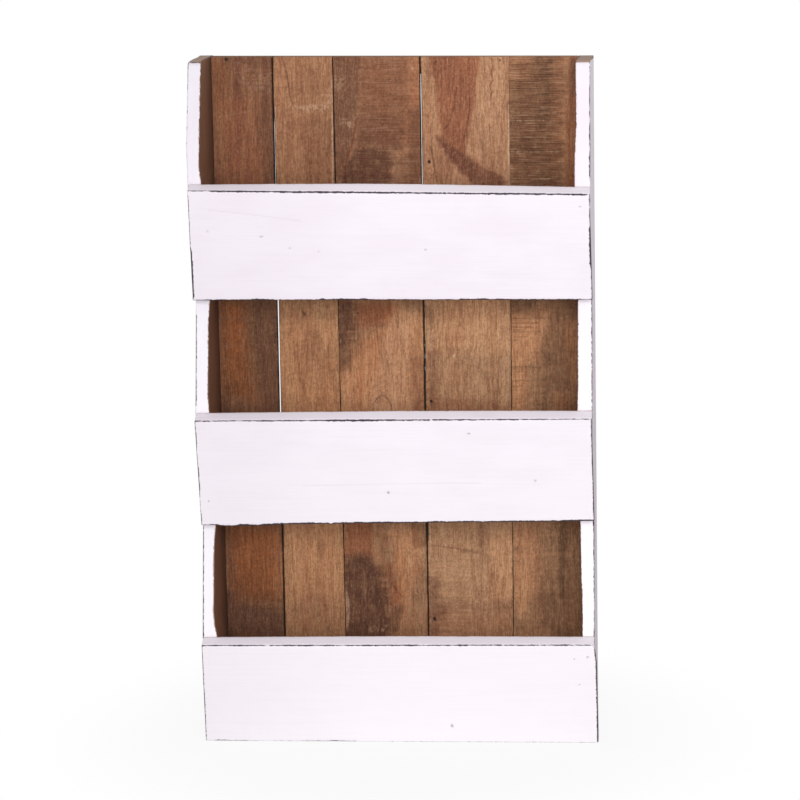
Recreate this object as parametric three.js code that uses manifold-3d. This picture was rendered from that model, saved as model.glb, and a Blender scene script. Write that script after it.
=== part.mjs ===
// Wall newspaper rack: five upright back planks between two saw-toothed side boards,
// with three painted front boards that lean outward and a floor board behind each.
//
// Millimetres, +Z up, +X to the viewer's right, front toward -Y. The origin is the
// middle of the footprint. Inside the rack group the wall plane is y = 0, and a
// "depth" is the distance from the wall toward the viewer, which is -y.

import * as THREE from 'three';
import { mergeVertices } from 'three/addons/utils/BufferGeometryUtils.js';
import Module from 'manifold-3d';

const wasm = await Module();
wasm.setup();

// Clearances
const fit = 0.3; // between neighbouring boards, and around every fastener
const arris = 0.8; // worn bevel along the long edges of every board

// Overall size
const width = 400;
const height = 700; // back planks and right side board
const leftSideRise = 2; // the left side board stands this much taller

// Side boards
const sideThickness = 14;
const topDepth = 80; // at the top end
const seatDepth = 74; // where the lower edge of a front board rests
const topCornerRadius = 5;

// Front boards and the three pockets
const lean = THREE.MathUtils.degToRad(15);
const frontThickness = 16;
const frontRise = 114; // upright height of a front board's rear face
const pocketPitch = 231;

// Reclaimed fronts, from the lowest up: how far each hand-sawn corner lies above or
// below its nominal level, measured upright
const fronts = [
  { name: 'front_board_bottom', topLeft: -3.6, topRight: -1.9, bottomLeft: 0, bottomRight: 0 },
  { name: 'front_board_middle', topLeft: -0.4, topRight: 0.8, bottomLeft: -1.8, bottomRight: 3 },
  { name: 'front_board_top', topLeft: 2.8, topRight: -4, bottomLeft: 0.1, bottomRight: -1.3 },
];

// Floor boards
const floorThickness = 14;
const floorRise = 12; // above the lower edge of the front board

// Back planks, and how the gaps between them divide the clear width between the sides:
// middle of each gap from the left at the top and bottom, as a share, and its width
const plankThickness = 10;
const plankTopFall = 3.6; // the top edge drops by this much from the left side to the right
const gaps = [
  { topShare: 0.1685, bottomShare: 0.1597, width: 2.2 },
  { topShare: 0.3328, bottomShare: 0.3331, width: 0.7 },
  { topShare: 0.5718, bottomShare: 0.5656, width: 2.2 },
  { topShare: 0.8134, bottomShare: 0.803, width: 0.6 },
];

// Where the nail into the top batten sits across each plank, as a share of its width
const battenNailShares = [0.23, 0.5, 0.5, 0.67, 0.8];
const plankColors = [0x76503c, 0x956c4b, 0x7d5233, 0xa07850, 0x6b4e33];

// Batten across the back of the planks, at the top
const battenThickness = 5;
const battenHeight = 18;

// Keyhole hanger plates, let in behind the batten
const hangerThickness = 1.5;
const hangerLength = 40;
const hangerHeight = 16;
const hangerCorner = 3;
const hangerSetback = 0.5; // from the wall plane
const hangerFromSide = 36; // middle of the plate from the side board's inner face
const hangerScrewSpacing = 28;
const keyholeEntry = 8; // diameter that passes over a wall screw's head
const keyholeSlot = 4; // width of the slot that hangs on its shank
const keyholeTravel = 5.5; // from the middle of the entry up to the end of the slot
const notchWidth = 12; // of the notch in the batten behind a plate
const notchHeadroom = 0.5; // above the head of a wall screw at the end of the slot

// Nails and screws
const nailShank = 1.8;
const nailHead = 3;
const nailHeadThickness = 1;
const nailPoint = 3;
const nailSet = 0.4; // the heads are punched this far below the surface
const frontNailLength = 45;
const sideNailLength = 40;
const plankNailLength = 35;
const battenNailLength = 13;
const battenEndNailLength = 24;
const nailInset = 8; // front nails from the ends of the board
const upperNailDrop = 14; // upper front nails below the top edge
const lowerNailRise = 26; // lower front nails above the bottom edge
const floorNailX = 53; // nail from a front board into its floor
const sideNailDepth = 55; // nails from the side boards into the floors
const screwShank = 3;
const screwHead = 5.6;
const screwHeadThickness = 1.3;
const screwLength = 12;
const screwSlot = 0.8;
const screwSlotDepth = 0.7;

// Facets
const nailSides = 8;
const screwSides = 12;
const arcSteps = 6;

// Derived depths, levels and edges
const innerHalf = width / 2 - sideThickness;
const battenRear = hangerSetback + hangerThickness + fit;
const battenFront = battenRear + battenThickness;
const plankRear = battenFront + fit;
const plankFront = plankRear + plankThickness;
const baseLevel = (frontThickness + fit) * Math.sin(lean);
const levels = fronts.map((front, index) => baseLevel + index * pocketPitch);
const tallestTop = Math.max(...fronts.flatMap((front) => [front.topLeft, front.topRight]));
const overallDepth = depthOnLean(frontRise + tallestTop)
  + (fit + frontThickness) * Math.cos(lean) - arris * Math.sin(lean);

// Direction in which a front board faces
const outward = new THREE.Vector3(0, -Math.cos(lean), -Math.sin(lean));

// Depth of the seat plane of the front boards, at a height above its level
function depthOnLean(rise) {
  return seatDepth + Math.tan(lean) * rise;
}

// Materials
function wood(color) {
  return new THREE.MeshStandardMaterial({ color, roughness: 0.85, metalness: 0 });
}

const paintedWood = new THREE.MeshStandardMaterial({ color: 0xf4eff6, roughness: 0.6, metalness: 0 });
const floorWood = wood(0x8a6a4b);
const battenWood = wood(0x7a5c42);
const nailSteel = new THREE.MeshStandardMaterial({ color: 0x3a3430, roughness: 0.6, metalness: 0.8 });
const zincSteel = new THREE.MeshStandardMaterial({ color: 0xa3a6a8, roughness: 0.4, metalness: 0.9 });

// Closed geometry to a solid: merged corners, without the triangles that have no area
function toSolid(geometry) {
  const bare = new THREE.BufferGeometry();
  bare.setAttribute('position', geometry.getAttribute('position').clone());
  if (geometry.index) {
    bare.setIndex(geometry.index.clone());
  }
  const merged = mergeVertices(bare, 1e-4);
  const corners = [];
  for (let i = 0; i < merged.index.count; i += 3) {
    const [a, b, c] = [merged.index.getX(i), merged.index.getX(i + 1), merged.index.getX(i + 2)];
    if (a !== b && b !== c && c !== a) {
      corners.push(a, b, c);
    }
  }
  return new wasm.Manifold(new wasm.Mesh({
    numProp: 3,
    vertProperties: Float32Array.from(merged.getAttribute('position').array),
    triVerts: Uint32Array.from(corners),
  }));
}

function toGeometry(solid) {
  const mesh = solid.getMesh();
  const geometry = new THREE.BufferGeometry();
  geometry.setAttribute('position', new THREE.BufferAttribute(mesh.vertProperties, 3));
  geometry.setIndex(new THREE.BufferAttribute(mesh.triVerts, 1));
  geometry.computeVertexNormals();
  return geometry;
}

// The rack, built up mesh by mesh, and the holes that its fasteners need
const rack = new THREE.Group();
const holes = new Map();

function addPiece(name, geometry, material) {
  const mesh = new THREE.Mesh(geometry, material);
  mesh.name = name;
  rack.add(mesh);
  holes.set(mesh, []);
  return mesh;
}

// A board sawn to an outline, with its worn arris on both faces
function boardGeometry(outline, thickness) {
  return new THREE.ExtrudeGeometry(outline, {
    depth: thickness - 2 * arris,
    bevelThickness: arris,
    bevelSize: arris,
    bevelOffset: -arris,
    bevelSegments: 1,
    curveSegments: arcSteps,
  }).translate(0, 0, arris);
}

// A board whose outline is a section in depth and height, running along X up to rightX
function sectionBoard(name, outline, length, rightX, material) {
  const mesh = addPiece(name, boardGeometry(outline, length), material);
  const axes = [new THREE.Vector3(0, -1, 0), new THREE.Vector3(0, 0, 1), new THREE.Vector3(-1, 0, 0)];
  mesh.quaternion.setFromRotationMatrix(new THREE.Matrix4().makeBasis(...axes));
  mesh.position.x = rightX;
  return mesh;
}

// A board or plate whose outline is seen from the front, its rear face at a depth
function uprightBoard(name, geometry, rearDepth, material) {
  const mesh = addPiece(name, geometry, material);
  mesh.rotation.x = Math.PI / 2;
  mesh.position.y = -rearDepth;
  return mesh;
}

function polygon(points) {
  return new THREE.Shape(points.map(([x, y]) => new THREE.Vector2(x, y)));
}

// Saw-toothed side board: a tip at each front board's top edge and a notch at its
// lower edge, all on the leaning seat planes
function sideOutline(topKey, bottomKey, topHeight) {
  const outline = new THREE.Shape();
  outline.moveTo(0, 0);
  fronts.forEach((front, index) => {
    const bottomRise = index === 0 ? -levels[0] : front[bottomKey];
    const topRise = frontRise + front[topKey];
    outline.lineTo(depthOnLean(bottomRise), levels[index] + bottomRise);
    outline.lineTo(depthOnLean(topRise), levels[index] + topRise);
  });
  const r = topCornerRadius;
  outline.lineTo(topDepth, topHeight - r);
  outline.absarc(topDepth - r, topHeight - r, r, 0, Math.PI / 2, false);
  outline.absarc(r, topHeight - r, r, Math.PI / 2, Math.PI, false);
  return outline;
}

const sideLeft = sectionBoard(
  'side_board_left',
  sideOutline('topLeft', 'bottomLeft', height + leftSideRise),
  sideThickness,
  sideThickness - width / 2,
  paintedWood,
);
const sideRight = sectionBoard(
  'side_board_right',
  sideOutline('topRight', 'bottomRight', height),
  sideThickness,
  width / 2,
  paintedWood,
);

// Back planks, tapered the way the gaps between them run
function plankEdges(index) {
  const wallEdge = innerHalf - fit;
  const gapMiddle = (share) => THREE.MathUtils.lerp(-innerHalf, innerHalf, share);
  const left = gaps[index - 1];
  const right = gaps[index];
  return {
    topLeft: left ? gapMiddle(left.topShare) + left.width / 2 : -wallEdge,
    bottomLeft: left ? gapMiddle(left.bottomShare) + left.width / 2 : -wallEdge,
    topRight: right ? gapMiddle(right.topShare) - right.width / 2 : wallEdge,
    bottomRight: right ? gapMiddle(right.bottomShare) - right.width / 2 : wallEdge,
  };
}

// X at a share of a plank's width, at a height
function acrossPlank(index, share, z) {
  const edges = plankEdges(index);
  const left = THREE.MathUtils.lerp(edges.bottomLeft, edges.topLeft, z / height);
  const right = THREE.MathUtils.lerp(edges.bottomRight, edges.topRight, z / height);
  return THREE.MathUtils.lerp(left, right, share);
}

// Height of the planks' top edge, at a place across
function topEdge(x) {
  return height - plankTopFall * (x + innerHalf) / (2 * innerHalf);
}

const planks = plankColors.map((color, index) => {
  const edges = plankEdges(index);
  const outline = polygon([
    [edges.bottomLeft, 0],
    [edges.bottomRight, 0],
    [edges.topRight, topEdge(edges.topRight)],
    [edges.topLeft, topEdge(edges.topLeft)],
  ]);
  const geometry = boardGeometry(outline, plankThickness);
  return uprightBoard(`back_plank_${index + 1}`, geometry, plankRear, wood(color));
});

// Batten along the planks' top edge, notched from below behind each hanger plate for the
// head of the wall screw; both plates are level with its middle at the low right-hand end
const battenHalf = innerHalf - fit;
const battenBottom = (x) => topEdge(x) - battenHeight;
const battenNailZ = height - battenHeight / 2;
const hangerX = innerHalf - hangerFromSide;
const hangerZ = battenNailZ - plankTopFall;
const notchTop = hangerZ + keyholeTravel / 2 + keyholeEntry / 2 + notchHeadroom;
const notches = [-hangerX, hangerX].flatMap((x) => [
  [x - notchWidth / 2, battenBottom(x - notchWidth / 2)],
  [x - notchWidth / 2, notchTop],
  [x + notchWidth / 2, notchTop],
  [x + notchWidth / 2, battenBottom(x + notchWidth / 2)],
]);
const battenOutline = polygon([
  [-battenHalf, battenBottom(-battenHalf)],
  ...notches,
  [battenHalf, battenBottom(battenHalf)],
  [battenHalf, topEdge(battenHalf)],
  [-battenHalf, topEdge(-battenHalf)],
]);
const battenGeometry = boardGeometry(battenOutline, battenThickness);
const batten = uprightBoard('top_batten', battenGeometry, battenRear, battenWood);

// Floor boards, with the front edge planed to the lean of the front board
function floorBoard(front, index) {
  const bottom = floorRise;
  const top = floorRise + floorThickness;
  const seatGap = fit / Math.cos(lean);
  const outline = polygon([
    [plankFront + fit, levels[index] + bottom],
    [depthOnLean(bottom) - seatGap, levels[index] + bottom],
    [depthOnLean(top) - seatGap, levels[index] + top],
    [plankFront + fit, levels[index] + top],
  ]);
  const name = front.name.replace('front_board', 'pocket_floor');
  return sectionBoard(name, outline, 2 * battenHalf, battenHalf, floorWood);
}

const floors = fronts.map(floorBoard);

// Front boards: outline in the leaning plane, laid against the seats of the sides
function frontBoard(front, index) {
  const half = width / 2;
  const along = (rise) => rise / Math.cos(lean);
  const outline = polygon([
    [-half, along(front.bottomLeft)],
    [half, along(front.bottomRight)],
    [half, along(frontRise + front.topRight)],
    [-half, along(frontRise + front.topLeft)],
  ]);
  const mesh = addPiece(front.name, boardGeometry(outline, frontThickness), paintedWood);
  mesh.rotation.x = Math.PI / 2 + lean;
  mesh.position.set(0, -seatDepth, levels[index]).addScaledVector(outward, fit);
  mesh.updateMatrix();
  return mesh;
}

const frontBoards = fronts.map(frontBoard);

// Keyhole hanger plates on the rear face of the batten
function keyholePath(entryRadius, slotRadius) {
  const path = new THREE.Path();
  const entryZ = -keyholeTravel / 2;
  const slotZ = keyholeTravel / 2;
  const neck = Math.acos(slotRadius / entryRadius);
  path.moveTo(-slotRadius, entryZ + entryRadius * Math.sin(neck));
  path.absarc(0, entryZ, entryRadius, Math.PI - neck, 2 * Math.PI + neck, false);
  path.absarc(0, slotZ, slotRadius, 0, Math.PI, false);
  return path;
}

function hangerOutline() {
  const x = hangerLength / 2;
  const z = hangerHeight / 2;
  const r = hangerCorner;
  const outline = new THREE.Shape();
  outline.absarc(x - r, -z + r, r, -Math.PI / 2, 0, false);
  outline.absarc(x - r, z - r, r, 0, Math.PI / 2, false);
  outline.absarc(-x + r, z - r, r, Math.PI / 2, Math.PI, false);
  outline.absarc(-x + r, -z + r, r, Math.PI, 1.5 * Math.PI, false);
  outline.holes.push(keyholePath(keyholeEntry / 2, keyholeSlot / 2));
  return outline;
}

const hangers = [['left', -hangerX], ['right', hangerX]].map(([side, x]) => {
  const options = { depth: hangerThickness, bevelEnabled: false, curveSegments: arcSteps };
  const geometry = new THREE.ExtrudeGeometry(hangerOutline(), options);
  const mesh = uprightBoard(`hanger_plate_${side}`, geometry, hangerSetback, zincSteel);
  mesh.position.x = x;
  mesh.position.z = hangerZ;
  return mesh;
});

// A fastener stands on its head: its axis runs down from the top of the head at y = 0
function revolve(points, sides) {
  return new THREE.LatheGeometry(points.map(([r, y]) => new THREE.Vector2(r, y)), sides);
}

function makeNail(length) {
  const head = nailHead / 2;
  const shank = nailShank / 2;
  const geometry = revolve([
    [0, -length],
    [shank, -length + nailPoint],
    [shank, -nailHeadThickness],
    [head, -nailHeadThickness],
    [head, 0],
    [0, 0],
  ], nailSides);
  const hole = revolve([
    [0, -length - 2 * fit],
    [shank + fit, -length + nailPoint],
    [shank + fit, -nailHeadThickness - fit],
    [head + fit, -nailHeadThickness - fit],
    [head + fit, nailSet + fit],
    [0, nailSet + fit],
  ], nailSides);
  return { geometry, hole, material: nailSteel, set: nailSet };
}

function makeScrew() {
  const head = screwHead / 2;
  const shank = screwShank / 2;
  const body = revolve([
    [0, -screwLength],
    [shank, -screwLength + screwHead / 2],
    [shank, -screwHeadThickness],
    [head, 0],
    [0, 0],
  ], screwSides);
  const slot = new THREE.BoxGeometry(2 * screwHead, 2 * screwSlotDepth, screwSlot);
  const geometry = toGeometry(toSolid(body).subtract(toSolid(slot)));
  const hole = revolve([
    [0, -screwLength - 2 * fit],
    [shank + fit, -screwLength + screwHead / 2],
    [shank + fit, -screwHeadThickness],
    [head + fit, 0],
    [head + fit, fit],
    [0, fit],
  ], screwSides);
  return { geometry, hole, material: zincSteel, set: 0 };
}

// Drives a fastener from a point on a surface into the boards, and marks their holes
function drive(fastener, name, point, direction, boards) {
  const mesh = addPiece(name, fastener.geometry.clone(), fastener.material);
  mesh.quaternion.setFromUnitVectors(new THREE.Vector3(0, -1, 0), direction);
  mesh.position.copy(point).addScaledVector(direction, fastener.set);
  mesh.updateMatrix();
  for (const board of boards) {
    holes.get(board).push(fastener.hole.clone().applyMatrix4(mesh.matrix));
  }
}

const intoWall = new THREE.Vector3(0, 1, 0);
const outOfWall = new THREE.Vector3(0, -1, 0);
const toRight = new THREE.Vector3(1, 0, 0);
const toLeft = new THREE.Vector3(-1, 0, 0);
const intoFront = outward.clone().negate();
const frontNail = makeNail(frontNailLength);
const sideNail = makeNail(sideNailLength);
const plankNail = makeNail(plankNailLength);
const battenNail = makeNail(battenNailLength);
const battenEndNail = makeNail(battenEndNailLength);
const hangerScrew = makeScrew();

// Two nails through each end of a front board into the side, and one into the floor
fronts.forEach((front, index) => {
  const mesh = frontBoards[index];
  const shortName = front.name.replace('front_board_', '');
  const onFace = (x, rise) => new THREE.Vector3(x, rise / Math.cos(lean), frontThickness);
  const ends = [
    ['left', -1, sideLeft, front.topLeft, front.bottomLeft],
    ['right', 1, sideRight, front.topRight, front.bottomRight],
  ];
  for (const [side, sign, board, topTrim, bottomTrim] of ends) {
    const x = sign * (width / 2 - nailInset);
    const rises = { upper: frontRise + topTrim - upperNailDrop, lower: bottomTrim + lowerNailRise };
    for (const [place, rise] of Object.entries(rises)) {
      const point = onFace(x, rise).applyMatrix4(mesh.matrix);
      drive(frontNail, `front_nail_${shortName}_${side}_${place}`, point, intoFront, [mesh, board]);
    }
  }
  const floorRiseMiddle = floorRise + floorThickness / 2;
  const point = onFace(floorNailX, floorRiseMiddle).applyMatrix4(mesh.matrix);
  drive(frontNail, `floor_nail_${shortName}_front`, point, intoFront, [mesh, floors[index]]);
});

// One nail through each side board into each end of a floor board
floors.forEach((floor, index) => {
  const shortName = floor.name.replace('pocket_floor_', '');
  const z = levels[index] + floorRise + floorThickness / 2;
  const left = new THREE.Vector3(-width / 2, -sideNailDepth, z);
  const right = new THREE.Vector3(width / 2, -sideNailDepth, z);
  drive(sideNail, `floor_nail_${shortName}_left`, left, toRight, [sideLeft, floor]);
  drive(sideNail, `floor_nail_${shortName}_right`, right, toLeft, [sideRight, floor]);
});

// One nail through each plank into the top batten, and from behind into two floors
planks.forEach((plank, index) => {
  const battenX = acrossPlank(index, battenNailShares[index], battenNailZ);
  const inFront = new THREE.Vector3(battenX, -plankFront, battenNailZ);
  drive(battenNail, `batten_nail_${index + 1}`, inFront, intoWall, [plank, batten]);
  for (const floorIndex of [0, fronts.length - 1]) {
    const floor = floors[floorIndex];
    const shortName = floor.name.replace('pocket_floor_', '');
    const z = levels[floorIndex] + floorRise + floorThickness / 2;
    const behind = new THREE.Vector3(acrossPlank(index, 0.5, z), -plankRear, z);
    drive(plankNail, `plank_nail_${shortName}_${index + 1}`, behind, outOfWall, [plank, floor]);
  }
});

// One nail through each side board into the end of the batten
const battenMiddle = battenRear + battenThickness / 2;
const battenLeft = new THREE.Vector3(-width / 2, -battenMiddle, battenNailZ);
const battenRight = new THREE.Vector3(width / 2, -battenMiddle, battenNailZ);
drive(battenEndNail, 'batten_nail_left', battenLeft, toRight, [sideLeft, batten]);
drive(battenEndNail, 'batten_nail_right', battenRight, toLeft, [sideRight, batten]);

// Two screws through each hanger plate and the batten into the planks
hangers.forEach((hanger) => {
  const side = hanger.name.replace('hanger_plate_', '');
  const outer = Math.sign(hanger.position.x);
  for (const [place, sign] of [['outer', outer], ['inner', -outer]]) {
    const x = hanger.position.x + sign * hangerScrewSpacing / 2;
    const plank = planks.find((board, index) => (
      x > acrossPlank(index, 0, hangerZ) && x < acrossPlank(index, 1, hangerZ)
    ));
    const point = new THREE.Vector3(x, -hangerSetback, hangerZ);
    drive(hangerScrew, `hanger_screw_${side}_${place}`, point, outOfWall, [hanger, batten, plank]);
  }
});

// Bore every board for its fasteners
for (const [mesh, cutters] of holes) {
  mesh.updateMatrix();
  const toLocal = mesh.matrix.clone().invert();
  let solid = toSolid(mesh.geometry);
  for (const cutter of cutters) {
    solid = solid.subtract(toSolid(cutter.applyMatrix4(toLocal)));
  }
  mesh.geometry = toGeometry(solid);
}

// Stand the rack on the middle of its footprint
rack.position.y = overallDepth / 2;
const model = new THREE.Group();
model.add(rack);

export default model;
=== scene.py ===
"""Wall newspaper rack: the looks of its weathered boards, worn paint, nails and hangers.

Metres, +Z up, +X to the viewer's right, front toward -Y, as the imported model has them.
"""

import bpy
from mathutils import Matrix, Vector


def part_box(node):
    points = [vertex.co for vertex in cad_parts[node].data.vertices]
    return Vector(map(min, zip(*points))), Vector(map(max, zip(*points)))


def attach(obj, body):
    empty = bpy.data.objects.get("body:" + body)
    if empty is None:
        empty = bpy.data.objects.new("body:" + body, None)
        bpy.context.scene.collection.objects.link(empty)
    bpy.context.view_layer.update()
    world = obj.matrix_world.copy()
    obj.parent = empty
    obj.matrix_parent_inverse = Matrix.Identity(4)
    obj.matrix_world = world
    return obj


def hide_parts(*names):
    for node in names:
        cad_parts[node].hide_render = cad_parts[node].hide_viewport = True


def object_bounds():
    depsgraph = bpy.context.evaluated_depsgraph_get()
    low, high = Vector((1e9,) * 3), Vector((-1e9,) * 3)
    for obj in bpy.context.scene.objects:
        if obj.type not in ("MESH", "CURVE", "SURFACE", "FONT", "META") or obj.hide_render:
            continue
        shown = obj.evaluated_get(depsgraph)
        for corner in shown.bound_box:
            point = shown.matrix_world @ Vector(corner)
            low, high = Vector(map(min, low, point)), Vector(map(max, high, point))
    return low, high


bl_info = {
    "name": "Wall Newspaper Rack",
    "version": (1, 0, 0),
    "blender": (4, 5, 0),
    "location": "View3D > Sidebar > Rack",
    "description": "Weathered boards, worn paint, nails and hangers of a wall newspaper rack",
    "category": "Object",
}

import math

import bmesh
import bpy
import numpy as np
from mathutils import Matrix, Vector

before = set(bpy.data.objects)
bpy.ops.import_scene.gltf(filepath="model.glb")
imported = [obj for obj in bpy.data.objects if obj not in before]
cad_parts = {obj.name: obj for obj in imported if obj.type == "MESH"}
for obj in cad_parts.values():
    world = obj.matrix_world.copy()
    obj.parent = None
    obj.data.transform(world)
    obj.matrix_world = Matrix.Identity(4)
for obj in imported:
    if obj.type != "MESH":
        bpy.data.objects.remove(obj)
CAD_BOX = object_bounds()

MM = 0.001

# Camera of the picture, fitted to the corners and edges of the boards
CAMERA_PLACE = (0.316691, -3.670314, 1.108862)
CAMERA_YAW = 0.0852
CAMERA_PITCH = 0.2023
CAMERA_ROLL = -0.0198
PICTURE = 800
FOCAL_PIXELS = 3694.318
SENSOR = 36.0

# Shape of the boards
LEAN = math.radians(15)
SLOPE_UP = np.array([0, -math.sin(LEAN), math.cos(LEAN)])
SLOPE_OUT = np.array([0, -math.cos(LEAN), -math.sin(LEAN)])
SEAT_DEPTH = 74 * MM
TOP_DEPTH = 80 * MM
TOP_CORNER = 5 * MM
FRONT_RISE = 114 * MM
LEVELS = (4.219 * MM, 235.219 * MM, 466.219 * MM)
POCKETS = ("bottom", "middle", "top")

# How far each sawn corner of a front lies off its nominal level, in mm:
# top left, top right, bottom left, bottom right
TRIMS = ((-3.6, -1.9, 0, 0), (-0.4, 0.8, -1.8, 3), (2.8, -4, 0.1, -1.3))


def linear(code):
    """Linear colour of an sRGB hex value."""
    values = [int(code[i:i + 2], 16) / 255 for i in (1, 3, 5)]
    return tuple(v / 12.92 if v <= 0.04045 else ((v + 0.055) / 1.055) ** 2.4 for v in values)


def camera_axes():
    """Right, up and forward of the picture's camera."""
    forward = np.array([
        -math.sin(CAMERA_YAW) * math.cos(CAMERA_PITCH),
        math.cos(CAMERA_YAW) * math.cos(CAMERA_PITCH),
        -math.sin(CAMERA_PITCH),
    ])
    right = np.array([math.cos(CAMERA_YAW), math.sin(CAMERA_YAW), 0])
    up = np.cross(right, forward)
    turn, tilt = math.cos(CAMERA_ROLL), math.sin(CAMERA_ROLL)
    return turn * right + tilt * up, turn * up - tilt * right, forward


def picture(points):
    """Where points of the rack lie in the measured picture, in its pixels."""
    right, up, forward = camera_axes()
    ray = points - np.array(CAMERA_PLACE)
    depth = ray @ forward
    middle = PICTURE / 2
    return middle + FOCAL_PIXELS * (ray @ right) / depth, middle - FOCAL_PIXELS * (ray @ up) / depth


def smooth(values, low, high):
    """0 below low, 1 above high, and an even curve between."""
    share = np.clip((values - low) / (high - low), 0, 1)
    return share * share * (3 - 2 * share)


NOISE_CELLS = 256


def noise(x, y, cell, seed, octaves=3):
    """Smooth noise from -1 to 1 whose coarsest spots are a cell across."""
    table = np.random.RandomState(seed).uniform(-1, 1, (NOISE_CELLS, NOISE_CELLS))
    total = np.zeros(np.broadcast(x, y).shape)
    weight = 0
    for octave in range(octaves):
        u = x / cell * 2 ** octave + 31.7 * octave
        v = y / cell * 2 ** octave + 11.3 * octave
        i, j = np.floor(u).astype(int), np.floor(v).astype(int)
        s, t = u - i, v - j
        s, t = s * s * (3 - 2 * s), t * t * (3 - 2 * t)
        i0, i1 = i % NOISE_CELLS, (i + 1) % NOISE_CELLS
        j0, j1 = j % NOISE_CELLS, (j + 1) % NOISE_CELLS
        low = table[i0, j0] * (1 - s) + table[i1, j0] * s
        high = table[i0, j1] * (1 - s) + table[i1, j1] * s
        total += (low * (1 - t) + high * t) / 2 ** octave
        weight += 1 / 2 ** octave
    return total / weight


def distance(x, y, points, closed=False):
    """Distance from a line through points; negative inside a closed one."""
    best = np.full(x.shape, 1e9)
    inside = np.zeros(x.shape, bool)
    ends = points[1:] + points[:1] if closed else points[1:]
    for (x0, y0), (x1, y1) in zip(points, ends):
        dx, dy = x1 - x0, y1 - y0
        along = np.clip(((x - x0) * dx + (y - y0) * dy) / max(dx * dx + dy * dy, 1e-12), 0, 1)
        best = np.minimum(best, np.hypot(x - x0 - along * dx, y - y0 - along * dy))
        if closed and y0 != y1:
            inside ^= ((y0 > y) != (y1 > y)) & (x < (x1 - x0) * (y - y0) / (y1 - y0) + x0)
    return np.where(inside, -best, best) if closed else best


def lines(length, step, edge=(0.5, 1.2)):
    """Shares from 0 to 1 that cut a length into even steps, with closer ones near both ends."""
    near = [e * MM / length for e in edge]
    count = max(1, round((length - 2 * edge[-1] * MM) / (step * MM)))
    middle = list(np.linspace(near[-1], 1 - near[-1], count + 1))
    return [0, *near[:-1], *middle, *[1 - n for n in near[:-1]][::-1], 1]


def slab(across, along, through, back):
    """Shares of every vertex of a closed slab, and its faces.

    A ring round the slab runs over its face, side, back and other side, and is
    repeated at each share along it; the two ends are closed by rows of faces.
    """
    ring = [(a, 1) for a in across]
    ring += [(1, c) for c in through[::-1][1:]]
    ring += [(a, 0) for a in back[::-1][1:]]
    ring += [(0, c) for c in through[1:-1]]
    ring = np.array(ring, float)
    size, rows = len(ring), len(along)
    shares = np.empty((rows, size, 3))
    shares[:, :, 0] = ring[:, 0]
    shares[:, :, 1] = np.array(along)[:, None]
    shares[:, :, 2] = ring[:, 1]
    shares = [shares.reshape(-1, 3)]
    first = np.arange(rows - 1)[:, None] * size
    here = np.arange(size)[None, :]
    after = (here + 1) % size
    faces = np.stack([first + here, first + after, first + size + after, first + size + here], -1)
    faces = faces.reshape(-1, 4).tolist()
    count = rows * size
    wide, deep, rear = len(across) - 1, len(through) - 1, len(back) - 1
    for end, base in ((0, 0), (1, (rows - 1) * size)):
        row = [base + i for i in range(wide + 1)]
        for k in range(1, deep):
            inner = np.array([(a, end, through[deep - k]) for a in across[1:-1]], float)
            inner[:, 1] = along[-1] if end else along[0]
            shares.append(inner)
            lower = [base + size - k, *range(count, count + wide - 1), base + wide + k]
            count += wide - 1
            faces += [[row[i], row[i + 1], lower[i + 1], lower[i]] for i in range(wide)]
            row = lower
        last = [base + size - deep - j for j in range(rear + 1)]
        i = j = 0
        while i < wide or j < rear:
            if j == rear or (i < wide and across[i + 1] <= back[j + 1]):
                faces.append([row[i], row[i + 1], last[j]])
                i += 1
            else:
                faces.append([row[i], last[j + 1], last[j]])
                j += 1
    return np.concatenate(shares), faces


def rounded(local, gaps, radius):
    """Rounds the edges of a slab: gaps are the distances from its two faces on each axis."""
    offset = np.stack(
        [np.maximum(radius - high, 0) - np.maximum(radius - low, 0) for low, high in gaps], -1)
    length = np.linalg.norm(offset, axis=1)
    share = np.where(length > 0, 1 - radius / np.maximum(length, 1e-9), 0)
    return local - offset * share[:, None]


def wander(along, through, seed, sawing):
    """How far a sawn edge lies inside its straight line: long and short waves of a sawing row."""
    depth, middle, long_share, long_cell, short_share, short_cell = sawing
    waves = middle + long_share * noise(along, through, long_cell * MM, seed)
    return depth * MM * (waves + short_share * noise(along, through, short_cell * MM, seed + 1))


def set_fields(mesh, fields):
    """Gives every point of a mesh its named numbers or directions."""
    for name, values in fields.items():
        values = np.asarray(values, np.float32)
        kind, key = ("FLOAT", "value") if values.ndim == 1 else ("FLOAT_VECTOR", "vector")
        mesh.attributes.new(name, kind, "POINT").data.foreach_set(key, values.ravel())


def stand_for(made, nodes):
    """Puts a finished piece on the rack in place of CAD nodes."""
    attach(made, "root")
    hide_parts(*nodes)


def board(name, points, faces, fields, material, cad):
    """A smooth closed board with its named fields, in place of a CAD node."""
    mesh = bpy.data.meshes.new(name)
    mesh.from_pydata(points.tolist(), [], faces)
    mesh.validate()
    shell = bmesh.new()
    shell.from_mesh(mesh)
    bmesh.ops.recalc_face_normals(shell, faces=shell.faces)
    for face in shell.faces:
        face.smooth = True
    shell.to_mesh(mesh)
    shell.free()
    set_fields(mesh, fields)
    mesh.materials.append(material)
    made = bpy.data.objects.new(name, mesh)
    bpy.context.scene.collection.objects.link(made)
    stand_for(made, [cad])


def node_points(name):
    """Corners of a CAD node."""
    return np.array([v.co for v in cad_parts[name].data.vertices])


# Materials

# How a finish mixes with the tone under it
OVER = "MIX"
STAIN = "MULTIPLY"
# A Map Range with soft ends
SOFT = {"interpolation_type": "SMOOTHSTEP"}
# Grey of the brush streaks in the paint, and of the painted shade on up-facing faces, low flanks, high side
# edges and the left end
GREY_STREAK_AND_SHADE = "#b9b0b8"
# Linear factors: paler where washed out, and a little redder in the upper part
BLEACH = (1.78, 1.62, 1.5)
UPPER_TINT = (1.0, 0.94, 0.95)


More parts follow.
